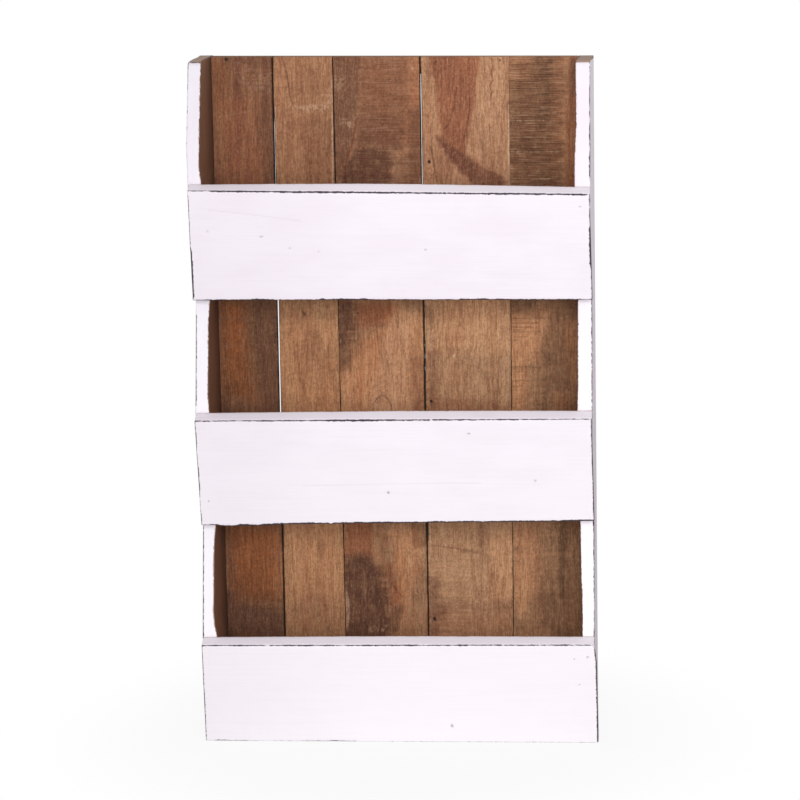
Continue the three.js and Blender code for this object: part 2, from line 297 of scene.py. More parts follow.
def node(tree, kind, inputs=(), out=0, **settings):
    """Adds a node with its settings, and sets or links its inputs.

    Gives the output that out names, or all of them where it is None. A list links all its sockets
    to one input.
    """
    made = tree.nodes.new(kind)
    for name, value in settings.items():
        setattr(made, name, value)
    for key, value in inputs.items() if isinstance(inputs, dict) else enumerate(inputs):
        if isinstance(value, (bpy.types.NodeSocket, list)):
            for socket in value if isinstance(value, list) else [value]:
                tree.links.new(socket, made.inputs[key])
        else:
            made.inputs[key].default_value = value
    return made.outputs if out is None else made.outputs[out]


def colour(given):
    """A colour input's value from an sRGB hex value or a linear colour; a socket stays as it is."""
    if isinstance(given, bpy.types.NodeSocket):
        return given
    return (*(linear(given) if isinstance(given, str) else given), 1)


def patterns(tree, shift, rows):
    """Noises by name; a row is what one follows, its spots in mm on each axis, detail, roughness."""
    found = {}
    for name, (source, size, detail, roughness) in rows.items():
        stretch = tuple(1 / (s * MM) for s in size)
        placed = node(tree, "ShaderNodeMapping", {"Vector": source, "Location": shift, "Scale": stretch})
        inputs = {"Vector": placed, "Scale": 1.0, "Detail": detail, "Roughness": roughness}
        found[name] = node(tree, "ShaderNodeTexNoise", inputs, "Fac")
    return found


def lay(tree, found, tone, rows):
    """Lays finishes over a tone one after another, and keeps the share of each under its name.

    A row is a name, how the finish mixes, its colour, and the pattern that it follows. Then come
    the two values of the pattern between which its share changes and the share at each, or None
    where the pattern is the share, and a limit that the share is multiplied by, if there is one.
    """
    tone = colour(tone)
    for name, blend, tint, pattern, spread, *limits in rows:
        share = found[pattern]
        if spread:
            share = node(tree, "ShaderNodeMapRange", (share, *spread), **SOFT)
        for limit in limits:
            share = node(tree, "ShaderNodeMath", (found.get(limit, limit), share), operation="MULTIPLY")
        inputs = {0: share, 6: tone, 7: colour(tint)}
        tone = node(tree, "ShaderNodeMix", inputs, 2, data_type="RGBA", blend_type=blend)
        found[name] = share
    return tone


def relief(tree, found, heights):
    """Sum of the named shares, each times its height."""
    total = 0.0
    for name, height in heights.items():
        total = node(tree, "ShaderNodeMath", (found[name], height, total), operation="MULTIPLY_ADD")
    return total


def new_material(name):
    """A node material, its empty tree and the place on the piece that its patterns follow."""
    made = bpy.data.materials.new(name)
    made.use_nodes = True
    made.node_tree.nodes.clear()
    return made, made.node_tree, node(made.node_tree, "ShaderNodeTexCoord", out="Object")


def finish_surface(tree, base, roughness, height, deep, specular=0.5, metallic=0.0):
    """Ends a material with its surface and a bump whose height is in mm."""
    bump = node(tree, "ShaderNodeBump", {"Strength": 1.0, "Distance": deep * MM, "Height": height})
    inputs = {"Base Color": base, "Metallic": metallic, "Roughness": roughness, "Normal": bump,
              "Specular IOR Level": specular}
    surface = node(tree, "ShaderNodeBsdfPrincipled", inputs)
    node(tree, "ShaderNodeOutputMaterial", (surface,), None)


def reclaimed_wood(name, base, light, warm, dark, pale, seed):
    """Rough sawn old teak boards: matt, stretched fibres, open pores and saw marks."""
    # Real pores, fibres and grit are finer; they are drawn as coarse as they need to show
    made, tree, place = new_material(name)
    grain = node(tree, "ShaderNodeAttribute", out="Vector", attribute_name="grain")
    found = patterns(tree, (seed * 3.1, seed * 1.7, seed), {
        "fibre": (grain, (0.8, 0.8, 11), 3, 0.6),
        "strand": (grain, (3.2, 3.2, 45), 3, 0.6),
        "growth": (grain, (8, 8, 150), 3, 0.55),
        "pore": (grain, (0.6, 0.6, 4.5), 2, 0.6),
        "mottle": (place, (9, 9, 14), 4, 0.6),
        "speck": (place, (1.6, 1.6, 1.6), 2, 0.5),
        "blade": (grain, (34, 34, 1.6), 3, 0.6),
        "rip": (grain, (30, 30, 1.5), 3, 0.6),
        "swell": (grain, (26, 26, 7), 3, 0.6),
        "fuzz": (place, (2.0, 2.0, 2.6), 4, 0.7),
        "grit": (place, (0.9, 0.9, 1.2), 2, 0.6),
    })
    for field in ("dark", "warm", "light", "pale", "saw", "ink"):
        found[field] = node(tree, "ShaderNodeAttribute", out="Fac", attribute_name=field)
    found["plain"] = node(tree, "ShaderNodeMapRange", (found["saw"], 0.05, 0.45, 1.0, 0.12), **SOFT)
    found["up"] = node(tree, "ShaderNodeSeparateXYZ", (place,), "Z")
    waves = {"Vector": grain, "Scale": 180.0, "Distortion": 3.0, "Detail": 3.0, "Detail Scale": 0.6}
    kerf = node(tree, "ShaderNodeTexWave", waves, "Fac", bands_direction="Z")
    kerf = node(tree, "ShaderNodeMapRange", (kerf, 0.5, 0.1, 0, 1), **SOFT)
    found["kerf"] = node(tree, "ShaderNodeMath", (found["saw"], kerf), operation="MULTIPLY")
    torn = node(tree, "ShaderNodeMapRange", (found["speck"], 0.3, 0.7, -0.15, 0.15), **SOFT)
    found["torn ink"] = node(tree, "ShaderNodeMath", (found["ink"], torn), operation="ADD")
    tone = lay(tree, found, base, (
        ("band", OVER, light, "growth", (0.35, 0.65, 0, 1)),
        ("blush", OVER, warm, "mottle", (0.45, 0.75, 0, 0.3)),
        ("heart", OVER, warm, "warm", None),
        # The dark field holds stains, and also painted shade in a corner and painted shadows under the
        # fronts
        ("dirt", OVER, dark, "mottle", (0.25, 0.6, 0.8, 1.12), "dark"),
        ("bleached", STAIN, BLEACH, "light", None),
        ("upper part", STAIN, UPPER_TINT, "up", (0.48, 0.58, 0, 1)),
        ("chalk", OVER, pale, "speck", (0.3, 0.52, 0, 1), "pale"),
        ("low fibres", STAIN, "#9c8271", "fibre", (0.36, 0.56, 0.42, 0), "plain"),
        ("raised fibres", OVER, pale, "fibre", (0.56, 0.74, 0, 0.26), "plain"),
        ("low strands", STAIN, "#98796a", "strand", (0.34, 0.56, 0.28, 0), "plain"),
        ("low swells", STAIN, "#a08676", "swell", (0.35, 0.6, 0.32, 0), "saw"),
        ("low fuzz", STAIN, "#8f7668", "fuzz", (0.36, 0.56, 0.36, 0)),
        ("raised fuzz", OVER, pale, "fuzz", (0.56, 0.74, 0, 0.24)),
        ("open pores", STAIN, "#6a5346", "pore", (0.3, 0.42, 0.3, 0)),
        ("low grit", STAIN, "#8a6f60", "grit", (0.3, 0.5, 0.16, 0)),
        ("raised grit", OVER, pale, "grit", (0.6, 0.74, 0, 0.22)),
        ("cut", STAIN, "#8b7362", "blade", (0.36, 0.56, 0.5, 0), "saw"),
        ("groove", STAIN, "#7a6252", "kerf", (0.2, 1, 0, 0.42)),
        ("ridge", OVER, pale, "rip", (0.56, 0.72, 0, 0.4), "saw"),
        ("blackened", OVER, "#23150f", "torn ink", (-0.35, 0.45, 0, 0.92)),
    ))
    heights = {"fibre": 0.5, "pore": 0.3, "cut": -0.7, "groove": -1.0, "chalk": 0.5, "fuzz": 0.7,
               "blackened": -1.0}
    rough = node(tree, "ShaderNodeMapRange", (found["fibre"], 0.3, 0.7, 0.72, 0.88), **SOFT)
    finish_surface(tree, tone, rough, relief(tree, found, heights), 0.35, 0.3)
    return made


def worn_paint(name, settings, seed, along_x=True):
    """Brushed chalk paint on old boards: matt white, rubbed through along the edges."""
    made, tree, place = new_material(name)
    turn = 1 if along_x else -1
    found = patterns(tree, (seed * 2.3, seed * 1.1, seed), {
        "brush": (place, (90, 1.6, 1.6)[::turn], 4, 0.6),
        "cloud": (place, (70, 30, 30)[::turn], 3, 0.5),
        "sliver": (place, (5, 1.1, 1.1)[::turn], 2, 0.5),
        "crumb": (place, (2.6, 2.6, 2.6), 4, 0.65),
        "grit": (place, (0.9, 0.9, 0.9), 2, 0.5),
        "fibre": (place, (1.4, 1.4, 40), 5, 0.65),
    })
    for field in ("mark", "wear", "fresh", "inside"):
        found[field] = node(tree, "ShaderNodeAttribute", out="Fac", attribute_name=field)
    found["x"], found["y"], found["z"] = node(tree, "ShaderNodeSeparateXYZ", (place,), None)
    normal = node(tree, "ShaderNodeNewGeometry", out="Normal")
    facing = node(tree, "ShaderNodeSeparateXYZ", (normal,), None)
    sideways = node(tree, "ShaderNodeMath", (facing["X"],), operation="ABSOLUTE")
    found["flank"] = node(tree, "ShaderNodeMapRange", (sideways, 0.5, 0.9, 0, 1), **SOFT)
    found["face"] = node(tree, "ShaderNodeMath", (1.0, found["flank"]), operation="SUBTRACT")
    found["level"] = node(tree, "ShaderNodeMapRange", (facing["Z"], 0.7, 0.95, 0, 1), **SOFT)
    # Painted light: the paint is whiter toward the floor, except on up-facing faces
    low = node(tree, "ShaderNodeMapRange", (found["z"], 0.02, 0.5, 0.75, 0), **SOFT)
    found["low"] = node(tree, "ShaderNodeMath", (low, found["level"]), operation="SUBTRACT", use_clamp=True)
    torn = found["wear"]
    for pattern, reach in (("crumb", 0.3), ("sliver", 0.28)):
        uneven = node(tree, "ShaderNodeMapRange", (found[pattern], 0.28, 0.72, -reach, reach), **SOFT)
        torn = node(tree, "ShaderNodeMath", (torn, uneven), operation="ADD")
    found["torn"] = torn
    coat = lay(tree, found, settings.paint, (
        ("thin", OVER, settings.shadow, "cloud", (0.35, 0.7, 0.15, 0.65)),
        ("whiter", OVER, "#fffaff", "low", None),
        # Painted shade on up-facing faces
        ("dusty top", STAIN, GREY_STREAK_AND_SHADE, "level", None, 0.08),
        # Painted shade: sideways faces darker toward the floor, and the sides' front edges darker high up
        ("low flank", STAIN, GREY_STREAK_AND_SHADE, "z", (0.08, 0.75, 0.6, 0.1), "flank"),
        ("high face", STAIN, GREY_STREAK_AND_SHADE, "z", (0.45, 0.68, 0, 0 if along_x else 0.16), "face"),
        ("brushed", STAIN, GREY_STREAK_AND_SHADE, "brush", (0.3, 0.6, 0.035, 0)),
        # Painted shade: darker, and on the sides bluer, toward the left end
        ("left end", STAIN, GREY_STREAK_AND_SHADE if along_x else "#86a2aa", "x", (-0.2, 0, 0.11, 0)),
        ("scuff", OVER, "#54464c", "grit", (0.35, 0.6, 0.4, 1), "mark"),
        ("halo", OVER, "#b7a9a6", "torn", (-0.7, 0.1, 0, 0.25)),
    ))
    brown = lay(tree, found, settings.bare_wood, (
        ("streaks", OVER, "#6a4733", "fibre", (0.35, 0.65, 0, 1)),
        # Painted shade: the bare inner face darkens toward the planks at its back
        ("deep", STAIN, "#8d7468", "y", (0, 0.045, 0, 0.75)),
    ))
    wood = lay(tree, found, settings.old_wood, (
        ("gritty", OVER, "#4a404a", "grit", (0.3, 0.6, 0, 1)),
        ("beige", OVER, settings.raw_wood, "fresh", None),
        ("brown", OVER, brown, "inside", None),
    ))
    tone = lay(tree, found, coat, (("worn", OVER, wood, "torn", (-0.12, 0.22, 0, 1)),))
    found["bare fibre"] = node(tree, "ShaderNodeMath", (found["fibre"], found["worn"]), operation="MULTIPLY")
    height = relief(tree, found, {"brush": 0.08, "worn": -1.0, "bare fibre": 0.8, "scuff": -0.4})
    rough = node(tree, "ShaderNodeMapRange", (found["worn"], 0, 1, 0.55, 0.85), **SOFT)
    finish_surface(tree, tone, rough, height, 0.22, 0.4)
    return made


def plain_wood(name, base, dark):
    """Sawn softwood of the hidden boards: matt, straight fibres, a little grey with dust."""
    made, tree, place = new_material(name)
    found = patterns(tree, (0, 0, 0), {
        "fibre": (place, (45, 1.4, 1.4), 5, 0.65),
        "growth": (place, (200, 8, 8), 3, 0.5),
        "dust": (place, (12, 12, 12), 4, 0.6),
    })
    tone = lay(tree, found, base, (
        ("band", OVER, dark, "growth", (0.35, 0.65, 0, 1)),
        ("low fibres", STAIN, "#8c7568", "fibre", (0.35, 0.62, 0.5, 0)),
        ("dusty", OVER, "#8b8078", "dust", (0.5, 0.8, 0, 0.3)),
    ))
    rough = node(tree, "ShaderNodeMapRange", (found["fibre"], 0.3, 0.7, 0.75, 0.9), **SOFT)
    finish_surface(tree, tone, rough, found["fibre"], 0.3, 0.3)
    return made


def aged_metal(name, base, oxide, smoothest, roughest, blotch):
    """Small steel parts: metal with blotches of oxide, of a size in mm, that break up its sheen."""
    made, tree, place = new_material(name)
    found = patterns(tree, (0, 0, 0), {
        "blotch": (place, (blotch, blotch, blotch), 4, 0.6),
        "fine": (place, (0.4, 0.4, 0.4), 2, 0.5),
    })
    tone = lay(tree, found, base, (("oxide", OVER, oxide, "blotch", (0.4, 0.65, 0, 1)),))
    rough = node(tree, "ShaderNodeMapRange", (found["blotch"], 0.35, 0.7, smoothest, roughest), **SOFT)
    finish_surface(tree, tone, rough, found["fine"], 0.05, metallic=1.0)
    return made


# Painted front boards

# How much each front's rear upper edge stands above its CAD edge, by picture place, in mm
REAR_RISE = {
    "top": ((195, 0.2), (230, 1.2), (260, 1.6), (300, 2.3), (340, 2.9), (380, 3.2), (440, 3.0), (520, 2.3),
            (575, 1.5)),
    "middle": ((200, 1.4), (260, 2.0), (390, 2.9), (500, 2.5), (580, 1.9)),
    "bottom": ((205, 1.1), (300, 1.7), (400, 2.1), (500, 1.8), (590, 1.2)),
}
# The same for its lower edge, downward
LOW_DROP = {
    "top": ((195, 0.0), (590, 0.0)),
    "middle": ((212, 0.4), (226, 1.9), (262, 1.9), (290, 0.8), (330, 0.7), (590, 0.8)),
    "bottom": ((195, 0.0), (590, 0.0)),
}
# How far the left and right end stand beyond the CAD end, at picture heights, in mm
END_REACH = {
    "top": (((200, 0.0), (250, 1.3), (300, 2.3)), ((200, 0.0), (300, 1.0))),
    "middle": (((420, 0.0), (526, 0.6)), ((420, 0.0), (520, 1.0))),
    "bottom": (((645, 0.0), (742, 2.7)), ((645, 0.0), (652, 1.6), (662, 2.8), (742, 3.0))),
}

# Where paint is rubbed off each edge: picture place along the edge, width in mm.
# Marks on the face: kind, size, points
FRONT_WEAR = {
    "top": {
        "top": ((188, 0.2), (195, 0.7), (208, 0.6), (213, 1.4), (268, 1.2), (274, 0.6), (280, 1.3),
                (420, 1.2), (585, 1.3), (588, 0.3)),
        "bottom": ((195, 0.6), (208, 0.9), (250, 0.9), (255, 1.2), (272, 1.1), (276, 0.8), (318, 0.8),
                   (322, 1.5), (328, 1.1), (342, 1.5), (366, 1.4), (370, 0.8), (458, 0.8), (462, 1.1),
                   (486, 1.1), (490, 0.9), (590, 0.8)),
        "left": ((191, 0.1), (200, 0.7), (248, 0.7), (252, 2.0), (296, 2.0), (300, 0.5)),
        "right": ((195, 0.8), (225, 0.9), (229, 2.0), (264, 1.9), (268, 1.0), (298, 0.8)),
        "marks": (
            ("scratch", 0.5, ((208, 210), (247, 214), (301, 221))),
            ("mark", 0.5, ((260, 236.4), (262, 236.8))),
            ("mark", 0.3, ((289.4, 248), (290.2, 248))),
            ("mark", 0.3, ((318, 252), (319.5, 252))),
            ("mark", 0.4, ((207, 231), (208, 232))),
            ("mark", 0.4, ((425, 250), (426, 250))),
            ("mark", 0.6, ((580, 206.6), (580.4, 207))),
        ),
    },
    "middle": {
        "top": ((195, 0.9), (325, 1.0), (330, 1.4), (390, 1.3), (394, 1.0), (429, 1.0), (431, 0.2),
                (433, 1.0), (514, 0.9), (518, 0.75), (588, 0.75), (591, 0.2)),
        "bottom": ((202, 0.3), (212, 0.9), (236, 0.8), (240, 1.7), (254, 1.3), (258, 0.7), (262, 1.4),
                   (328, 1.4), (331, 0.4), (334, 1.4), (560, 1.2), (576, 1.6), (594, 1.2)),
        "left": ((423, 0.7), (440, 1.2), (452, 0.4), (470, 1.2), (488, 1.2), (500, 0.4), (526, 1.1)),
        "right": ((421, 1.0), (513, 1.2), (521, 0.8)),
        "marks": (
            ("scratch", 0.45, ((303, 486), (390, 484), (480, 483))),
            ("mark", 0.7, ((468, 433.5), (469.2, 434))),
            ("mark", 0.6, ((535, 480.8), (536, 480.8))),
            ("mark", 0.9, ((388, 492.2), (388.5, 492.8))),
            ("mark", 0.5, ((208.4, 501), (208.8, 501.2))),
        ),
    },
    "bottom": {
        "top": ((202, 0.85), (270, 0.85), (274, 0.95), (398, 0.95), (402, 1.1), (418, 1.1), (422, 0.9),
                (455, 0.9), (457, 1.1), (469, 1.1), (472, 0.9), (515, 0.9), (517, 1.1), (525, 1.0),
                (528, 0.85), (588, 0.85), (593, 0.2)),
        "bottom": ((207, 0.1), (215, 0.2), (218, 0.8), (226, 0.8), (230, 0.5), (253, 0.5), (256, 0.15),
                   (299, 0.15), (302, 0.5), (326, 0.5), (328, 0.8), (340, 0.8), (344, 0.5), (355, 0.5),
                   (359, 0.15), (597, 0.2)),
        "left": ((648, 0.7), (690, 0.9), (743, 0.8)),
        "right": ((645, 0.1), (652, 1.3), (741, 1.3)),
        "marks": (
            ("mark", 0.9, ((451.6, 725.2), (452.4, 726.6))),
            ("mark", 0.7, ((586.6, 657), (587, 657.4))),
            ("mark", 0.45, ((573.7, 659.4), (574.1, 659.4))),
            ("mark", 0.45, ((579.2, 684.6), (579.6, 684.6))),
        ),
    },
}
# The lower edges are worn this much wider than their profiles say
LOW_WEAR = 1.55
# Width of raw wood along each rear edge, in mm
REAR_WEAR = {"top": 1.1, "bottom": 0.9, "left": 0.7, "right": 0.7}
EDGES = ("top", "bottom", "left", "right")
# How dark a mark on the paint is, and half the width of its soft border in pixels
MARK_STRENGTH = {"scratch": 0.12, "mark": 0.85}
MARK_BORDER = 0.5

# Sawing, rows and wear of all boards

# Sawn edges: depth in mm, middle, then share and length in mm of the long and of the short waves
SAWN_TOP = (0.5, 0.4, 0.6, 45, 0.25, 4)
SAWN_FOOT = (0.5, 0.4, 0.6, 40, 0.3, 4)
SAWN_END = (0.4, 0.4, 0.6, 30, 0.4, 3)
SAWN_SIDE = (0.35, 0.5, 0.5, 26, 0.5, 3)
SAWN_PLANK = (0.25, 0.4, 1, 40, 0.5, 4)
# Distances in mm between a board's rows through its thickness, and the first one from its faces
THROUGH = (2, (0.6,))
# How far a front's faces lie inside its CAD faces, and depth and length of its dents and strokes
FACE_SINK = 0.2 * MM
DENTS = (0.16 * MM, 50 * MM)
STROKES = (0.05 * MM, 2 * MM)
# How far from an edge its wear still rounds it, and the length of uneven wear
WORN_FROM = 4 * MM
WORN_WHOLE = 1 * MM
WEAR_CELL = 13 * MM
# How uneven the wear is, and an edge's radius: least share, and the share that grows with wear
FRONT_UNEVEN = 0.3
SIDE_UNEVEN = 0.4
FRONT_ROUND = (0.7, 0.75)
SIDE_ROUND = (0.8, 0.5)
PLANK_ROUND = (0.6, 0.9)
# Shares of a front: of its wander that reaches the rear, of its height where the rear edge rises,
# and of its width where the ends reach out
REAR_WANDER = 0.3
RISE_ZONE = 0.07
END_ZONE = 0.03
# Distance in mm between the rows of a front's and a plank's rear, and between a side's rows
FRONT_REAR_ROWS = 6
PLANK_REAR_ROWS = 7
SIDE_ROWS = 2.6
SIDE_THROUGH = (1.6, (0.5,))
# From this share of the thickness on, a point is on the front face
FRONT_FACE = 0.9


def along_edge(place, profile):
    """Value of a profile at places along an edge."""
    return np.interp(place, *zip(*profile))


def board_place(seat, x, v, w):
    """Points on a leaning board: across, up its slope and out of it."""
    return seat + np.outer(v, SLOPE_UP) + np.outer(w, SLOPE_OUT) + np.outer(x, (1, 0, 0))


def front_board(name, settings, material):
    """One leaning front board: sawn edges, small dents, and the worn width along each edge."""
    cad = "front_board_" + name
    order = POCKETS.index(name)
    seat = np.array([0, CAD_BOX[1].y - SEAT_DEPTH, LEVELS[order]])
    corners = node_points(cad) - seat
    heights, depths = corners @ SLOPE_UP, corners @ SLOPE_OUT
    x_low, x_high = corners[:, 0].min(), corners[:, 0].max()
    rear, thick = depths.min(), depths.max() - depths.min()
    ends = []
    for side in (corners[:, 0] < 0, corners[:, 0] > 0):
        ends.append((heights[side].min(), heights[side].max()))
    (left_low, left_high), (right_low, right_high) = ends
    wide = x_high - x_low
    tall = left_high - left_low
    step = settings.grid_step / MM
    shares, faces = slab(lines(tall, step), lines(wide, step), lines(thick, *THROUGH),
                         lines(tall, FRONT_REAR_ROWS))
    a, b, c = shares.T
    x = x_low + wide * b
    low = left_low + (right_low - left_low) * b
    high = left_high + (right_high - left_high) * b
    v = low + (high - low) * a
    w = thick * c
    seed = 11 * (order + 1)
    # Hand-sawn edges wander a little, always inward from the CAD outline
    in_top = np.maximum(wander(x, w, seed, SAWN_TOP), 0)
    in_foot = np.maximum(wander(x, w, seed + 2, SAWN_FOOT), 0)
    in_end = np.maximum(wander(v, w, seed + 4, SAWN_END), 0)
    v = v - in_top * a * (REAR_WANDER + (1 - REAR_WANDER) * c) + in_foot * (1 - a)
    x = x + in_end * (1 - 2 * b)
    place_x, place_y = picture(board_place(seat, x, v, w + rear))
    wear = FRONT_WEAR[name]
    need = {edge: along_edge(place_x, wear[edge]) for edge in EDGES[:2]}
    need.update({edge: along_edge(place_y, wear[edge]) for edge in EDGES[2:]})
    need["bottom"] *= LOW_WEAR
    gaps = {"top": high - v, "bottom": v - low, "left": x - x_low, "right": x_high - x}
    uneven = 1 + FRONT_UNEVEN * noise(x + v, x - v, WEAR_CELL, seed + 6)
    worst = np.maximum.reduce([need[e] * smooth(gaps[e], WORN_FROM, WORN_WHOLE) for e in EDGES])
    radius = settings.arris * (FRONT_ROUND[0] + FRONT_ROUND[1] * worst * uneven)
    pairs = ((gaps["left"], gaps["right"]), (gaps["bottom"], gaps["top"]), (w, thick - w))
    local = rounded(np.stack([x, v, w], -1), pairs, radius)
    # The rear upper edge rises, the lower edge drops and the ends reach out near their borders
    local[:, 1] += along_edge(place_x, REAR_RISE[name]) * MM * (1 - c) * smooth(a, 1 - RISE_ZONE, 1)
    local[:, 1] -= along_edge(place_x, LOW_DROP[name]) * MM * smooth(a, RISE_ZONE, 0)
    out_left, out_right = (along_edge(place_y, profile) * MM for profile in END_REACH[name])
    local[:, 0] += out_right * smooth(b, 1 - END_ZONE, 1) - out_left * smooth(b, END_ZONE, 0)
    dents = DENTS[0] * noise(x, v, DENTS[1], seed + 7) + STROKES[0] * noise(x * 0.1, v, STROKES[1], seed + 8)
    local[:, 2] -= (FACE_SINK + dents) * (2 * c - 1)
    scale = settings.wear * uneven
    rubbed = np.maximum.reduce([need[e] * scale - np.hypot(gaps[e], thick - w) / MM for e in EDGES])
    raw = np.maximum.reduce([REAR_WEAR[e] * uneven - np.hypot(gaps[e], w) / MM for e in EDGES])
    mark = np.zeros(len(x))
    in_front = c > FRONT_FACE
    for kind, size, points in wear["marks"]:
        drawn = smooth(distance(place_x, place_y, points), size + MARK_BORDER, size - MARK_BORDER)
        mark = np.maximum(mark, MARK_STRENGTH[kind] * drawn * in_front)
    fields = {"wear": np.maximum(rubbed, raw), "fresh": (raw > rubbed) * 1.0, "mark": mark,
              "inside": np.zeros(len(x))}
    points = board_place(seat, local[:, 0], local[:, 1], local[:, 2] + rear)
    board(name + "_front", points, faces, fields, material, cad)


# Sides

SIDE_WEAR = {
    "left": {
        "outer": ((60, 0.9), (100, 0.4), (180, 0.3), (312, 0.2), (318, 1.0), (403, 1.0), (408, 0.4),
                  (522, 0.4), (527, 1.1), (643, 1.1), (700, 0.6)),
        "inner": ((60, 0.4), (180, 0.5), (320, 0.4), (400, 0.6), (538, 0.6), (542, 1.0), (628, 1.0),
                  (640, 0.4)),
    },
    "right": {
        "outer": ((60, 0.5), (84, 0.5), (88, 1.0), (120, 0.5), (136, 1.1), (178, 1.0), (182, 0.3),
                  (300, 0.9), (400, 0.9), (520, 1.0), (640, 0.7)),
        "inner": ((60, 0.1), (84, 0.1), (88, 0.4), (150, 0.4), (156, 0.15), (300, 0.3), (410, 0.3),
                  (640, 0.3)),
    },
}
# How much each side's inner and outer face lean outward toward its front edge, and its outer
# face toward its rear edge, by picture height, in mm
SIDE_LEAN = {
    "left": {
        "inner": ((60, 1.9), (75, 2.3), (150, 3.9), (168, 3.8), (186, 1.6), (300, 0.4), (320, 1.8),
                  (395, 2.0), (415, 0.2), (525, 1.2), (540, 2.4), (560, 2.8), (612, 3.0), (625, 1.8),
                  (636, -0.4)),
        "outer": ((60, 1.2), (75, 1.4), (150, 2.8), (180, 1.6), (300, 0.9), (640, 0.8)),
        "rear": ((60, 0.0), (640, 0.0)),
    },
    "right": {
        "inner": ((60, 0.0), (125, 0.0), (155, -1.3), (190, -1.6), (300, -0.3), (395, -0.5), (412, -1.1),
                  (525, 0.0), (545, 0.4), (580, 1.0), (600, 1.9), (640, 2.0)),
        "outer": ((60, 0.2), (640, 0.2)),
        "rear": ((60, 1.4), (190, 1.0), (400, 0.6), (640, 0.2)),
    },
}
# At each side's upper end: how far it is worn down at the rear and how far down it is bare, in
# mm, and how raw the wood of its inner front edge is
SIDE_TOP = {"left": (1.8, 0.1, 0.75), "right": (3.8, 2.0, 0.1)}
SIDE_SEED = {"left": 71, "right": 83}
# Heights of extra rows beside each corner of the profile and at the two ends
CORNER_ROW = 0.6 * MM
FOOT_ROWS = (0.5 * MM, 1.2 * MM)
TOP_ROWS = (1.2 * MM, 0.5 * MM, 2.2 * MM, 3.5 * MM)
# Share of the bare inner wood's brown at the upper end
TOP_BROWN = 0.15
# A wear field of the first shows no wood, one of the second nothing but wood
NO_WEAR = -9
ALL_WEAR = 9
# Hollow of a side's faces and its length, how far from the rear and the top the top is worn down,
# and the depth over which a face comes to its full lean
HOLLOW = (0.25 * MM, 90 * MM)
WORN_REAR = (70 * MM, 5 * MM)
WORN_TOP = 60 * MM
LEAN_DEPTH = 0.8 * SEAT_DEPTH
# Width of bare wood along the edges that have no profile, in mm: rear and top
SIDE_REAR_WEAR = 1.3
CROWN_WEAR = 0.8
# The inner front edge is worn this much wider than its profile says
INNER_WEAR = 1.4
# The paint runs this far in mm round the edge onto the bare inner face, and the rows this near
# to that face are bare with it
PAINT_LAP = 0.4
INNER_ROWS = 1.2 * MM
# Rawness of the bare upper end, and length of its patches
TOP_RAW = 0.8
TOP_PATCH = 9 * MM


def side_profile(side, height):
    """Depth of a side's front edge at heights: three leaning seats and a rounded top corner."""
    top, low = (0, 2) if side == "left" else (1, 3)
    knots = []
    for index, (level, trims) in enumerate(zip(LEVELS, TRIMS)):
        rise = trims[low] * MM if index else -level
        tip = FRONT_RISE + trims[top] * MM
        knots += [(level + rise, SEAT_DEPTH + math.tan(LEAN) * rise),
                  (level + tip, SEAT_DEPTH + math.tan(LEAN) * tip)]
    knots.append((height, TOP_DEPTH))
    return knots


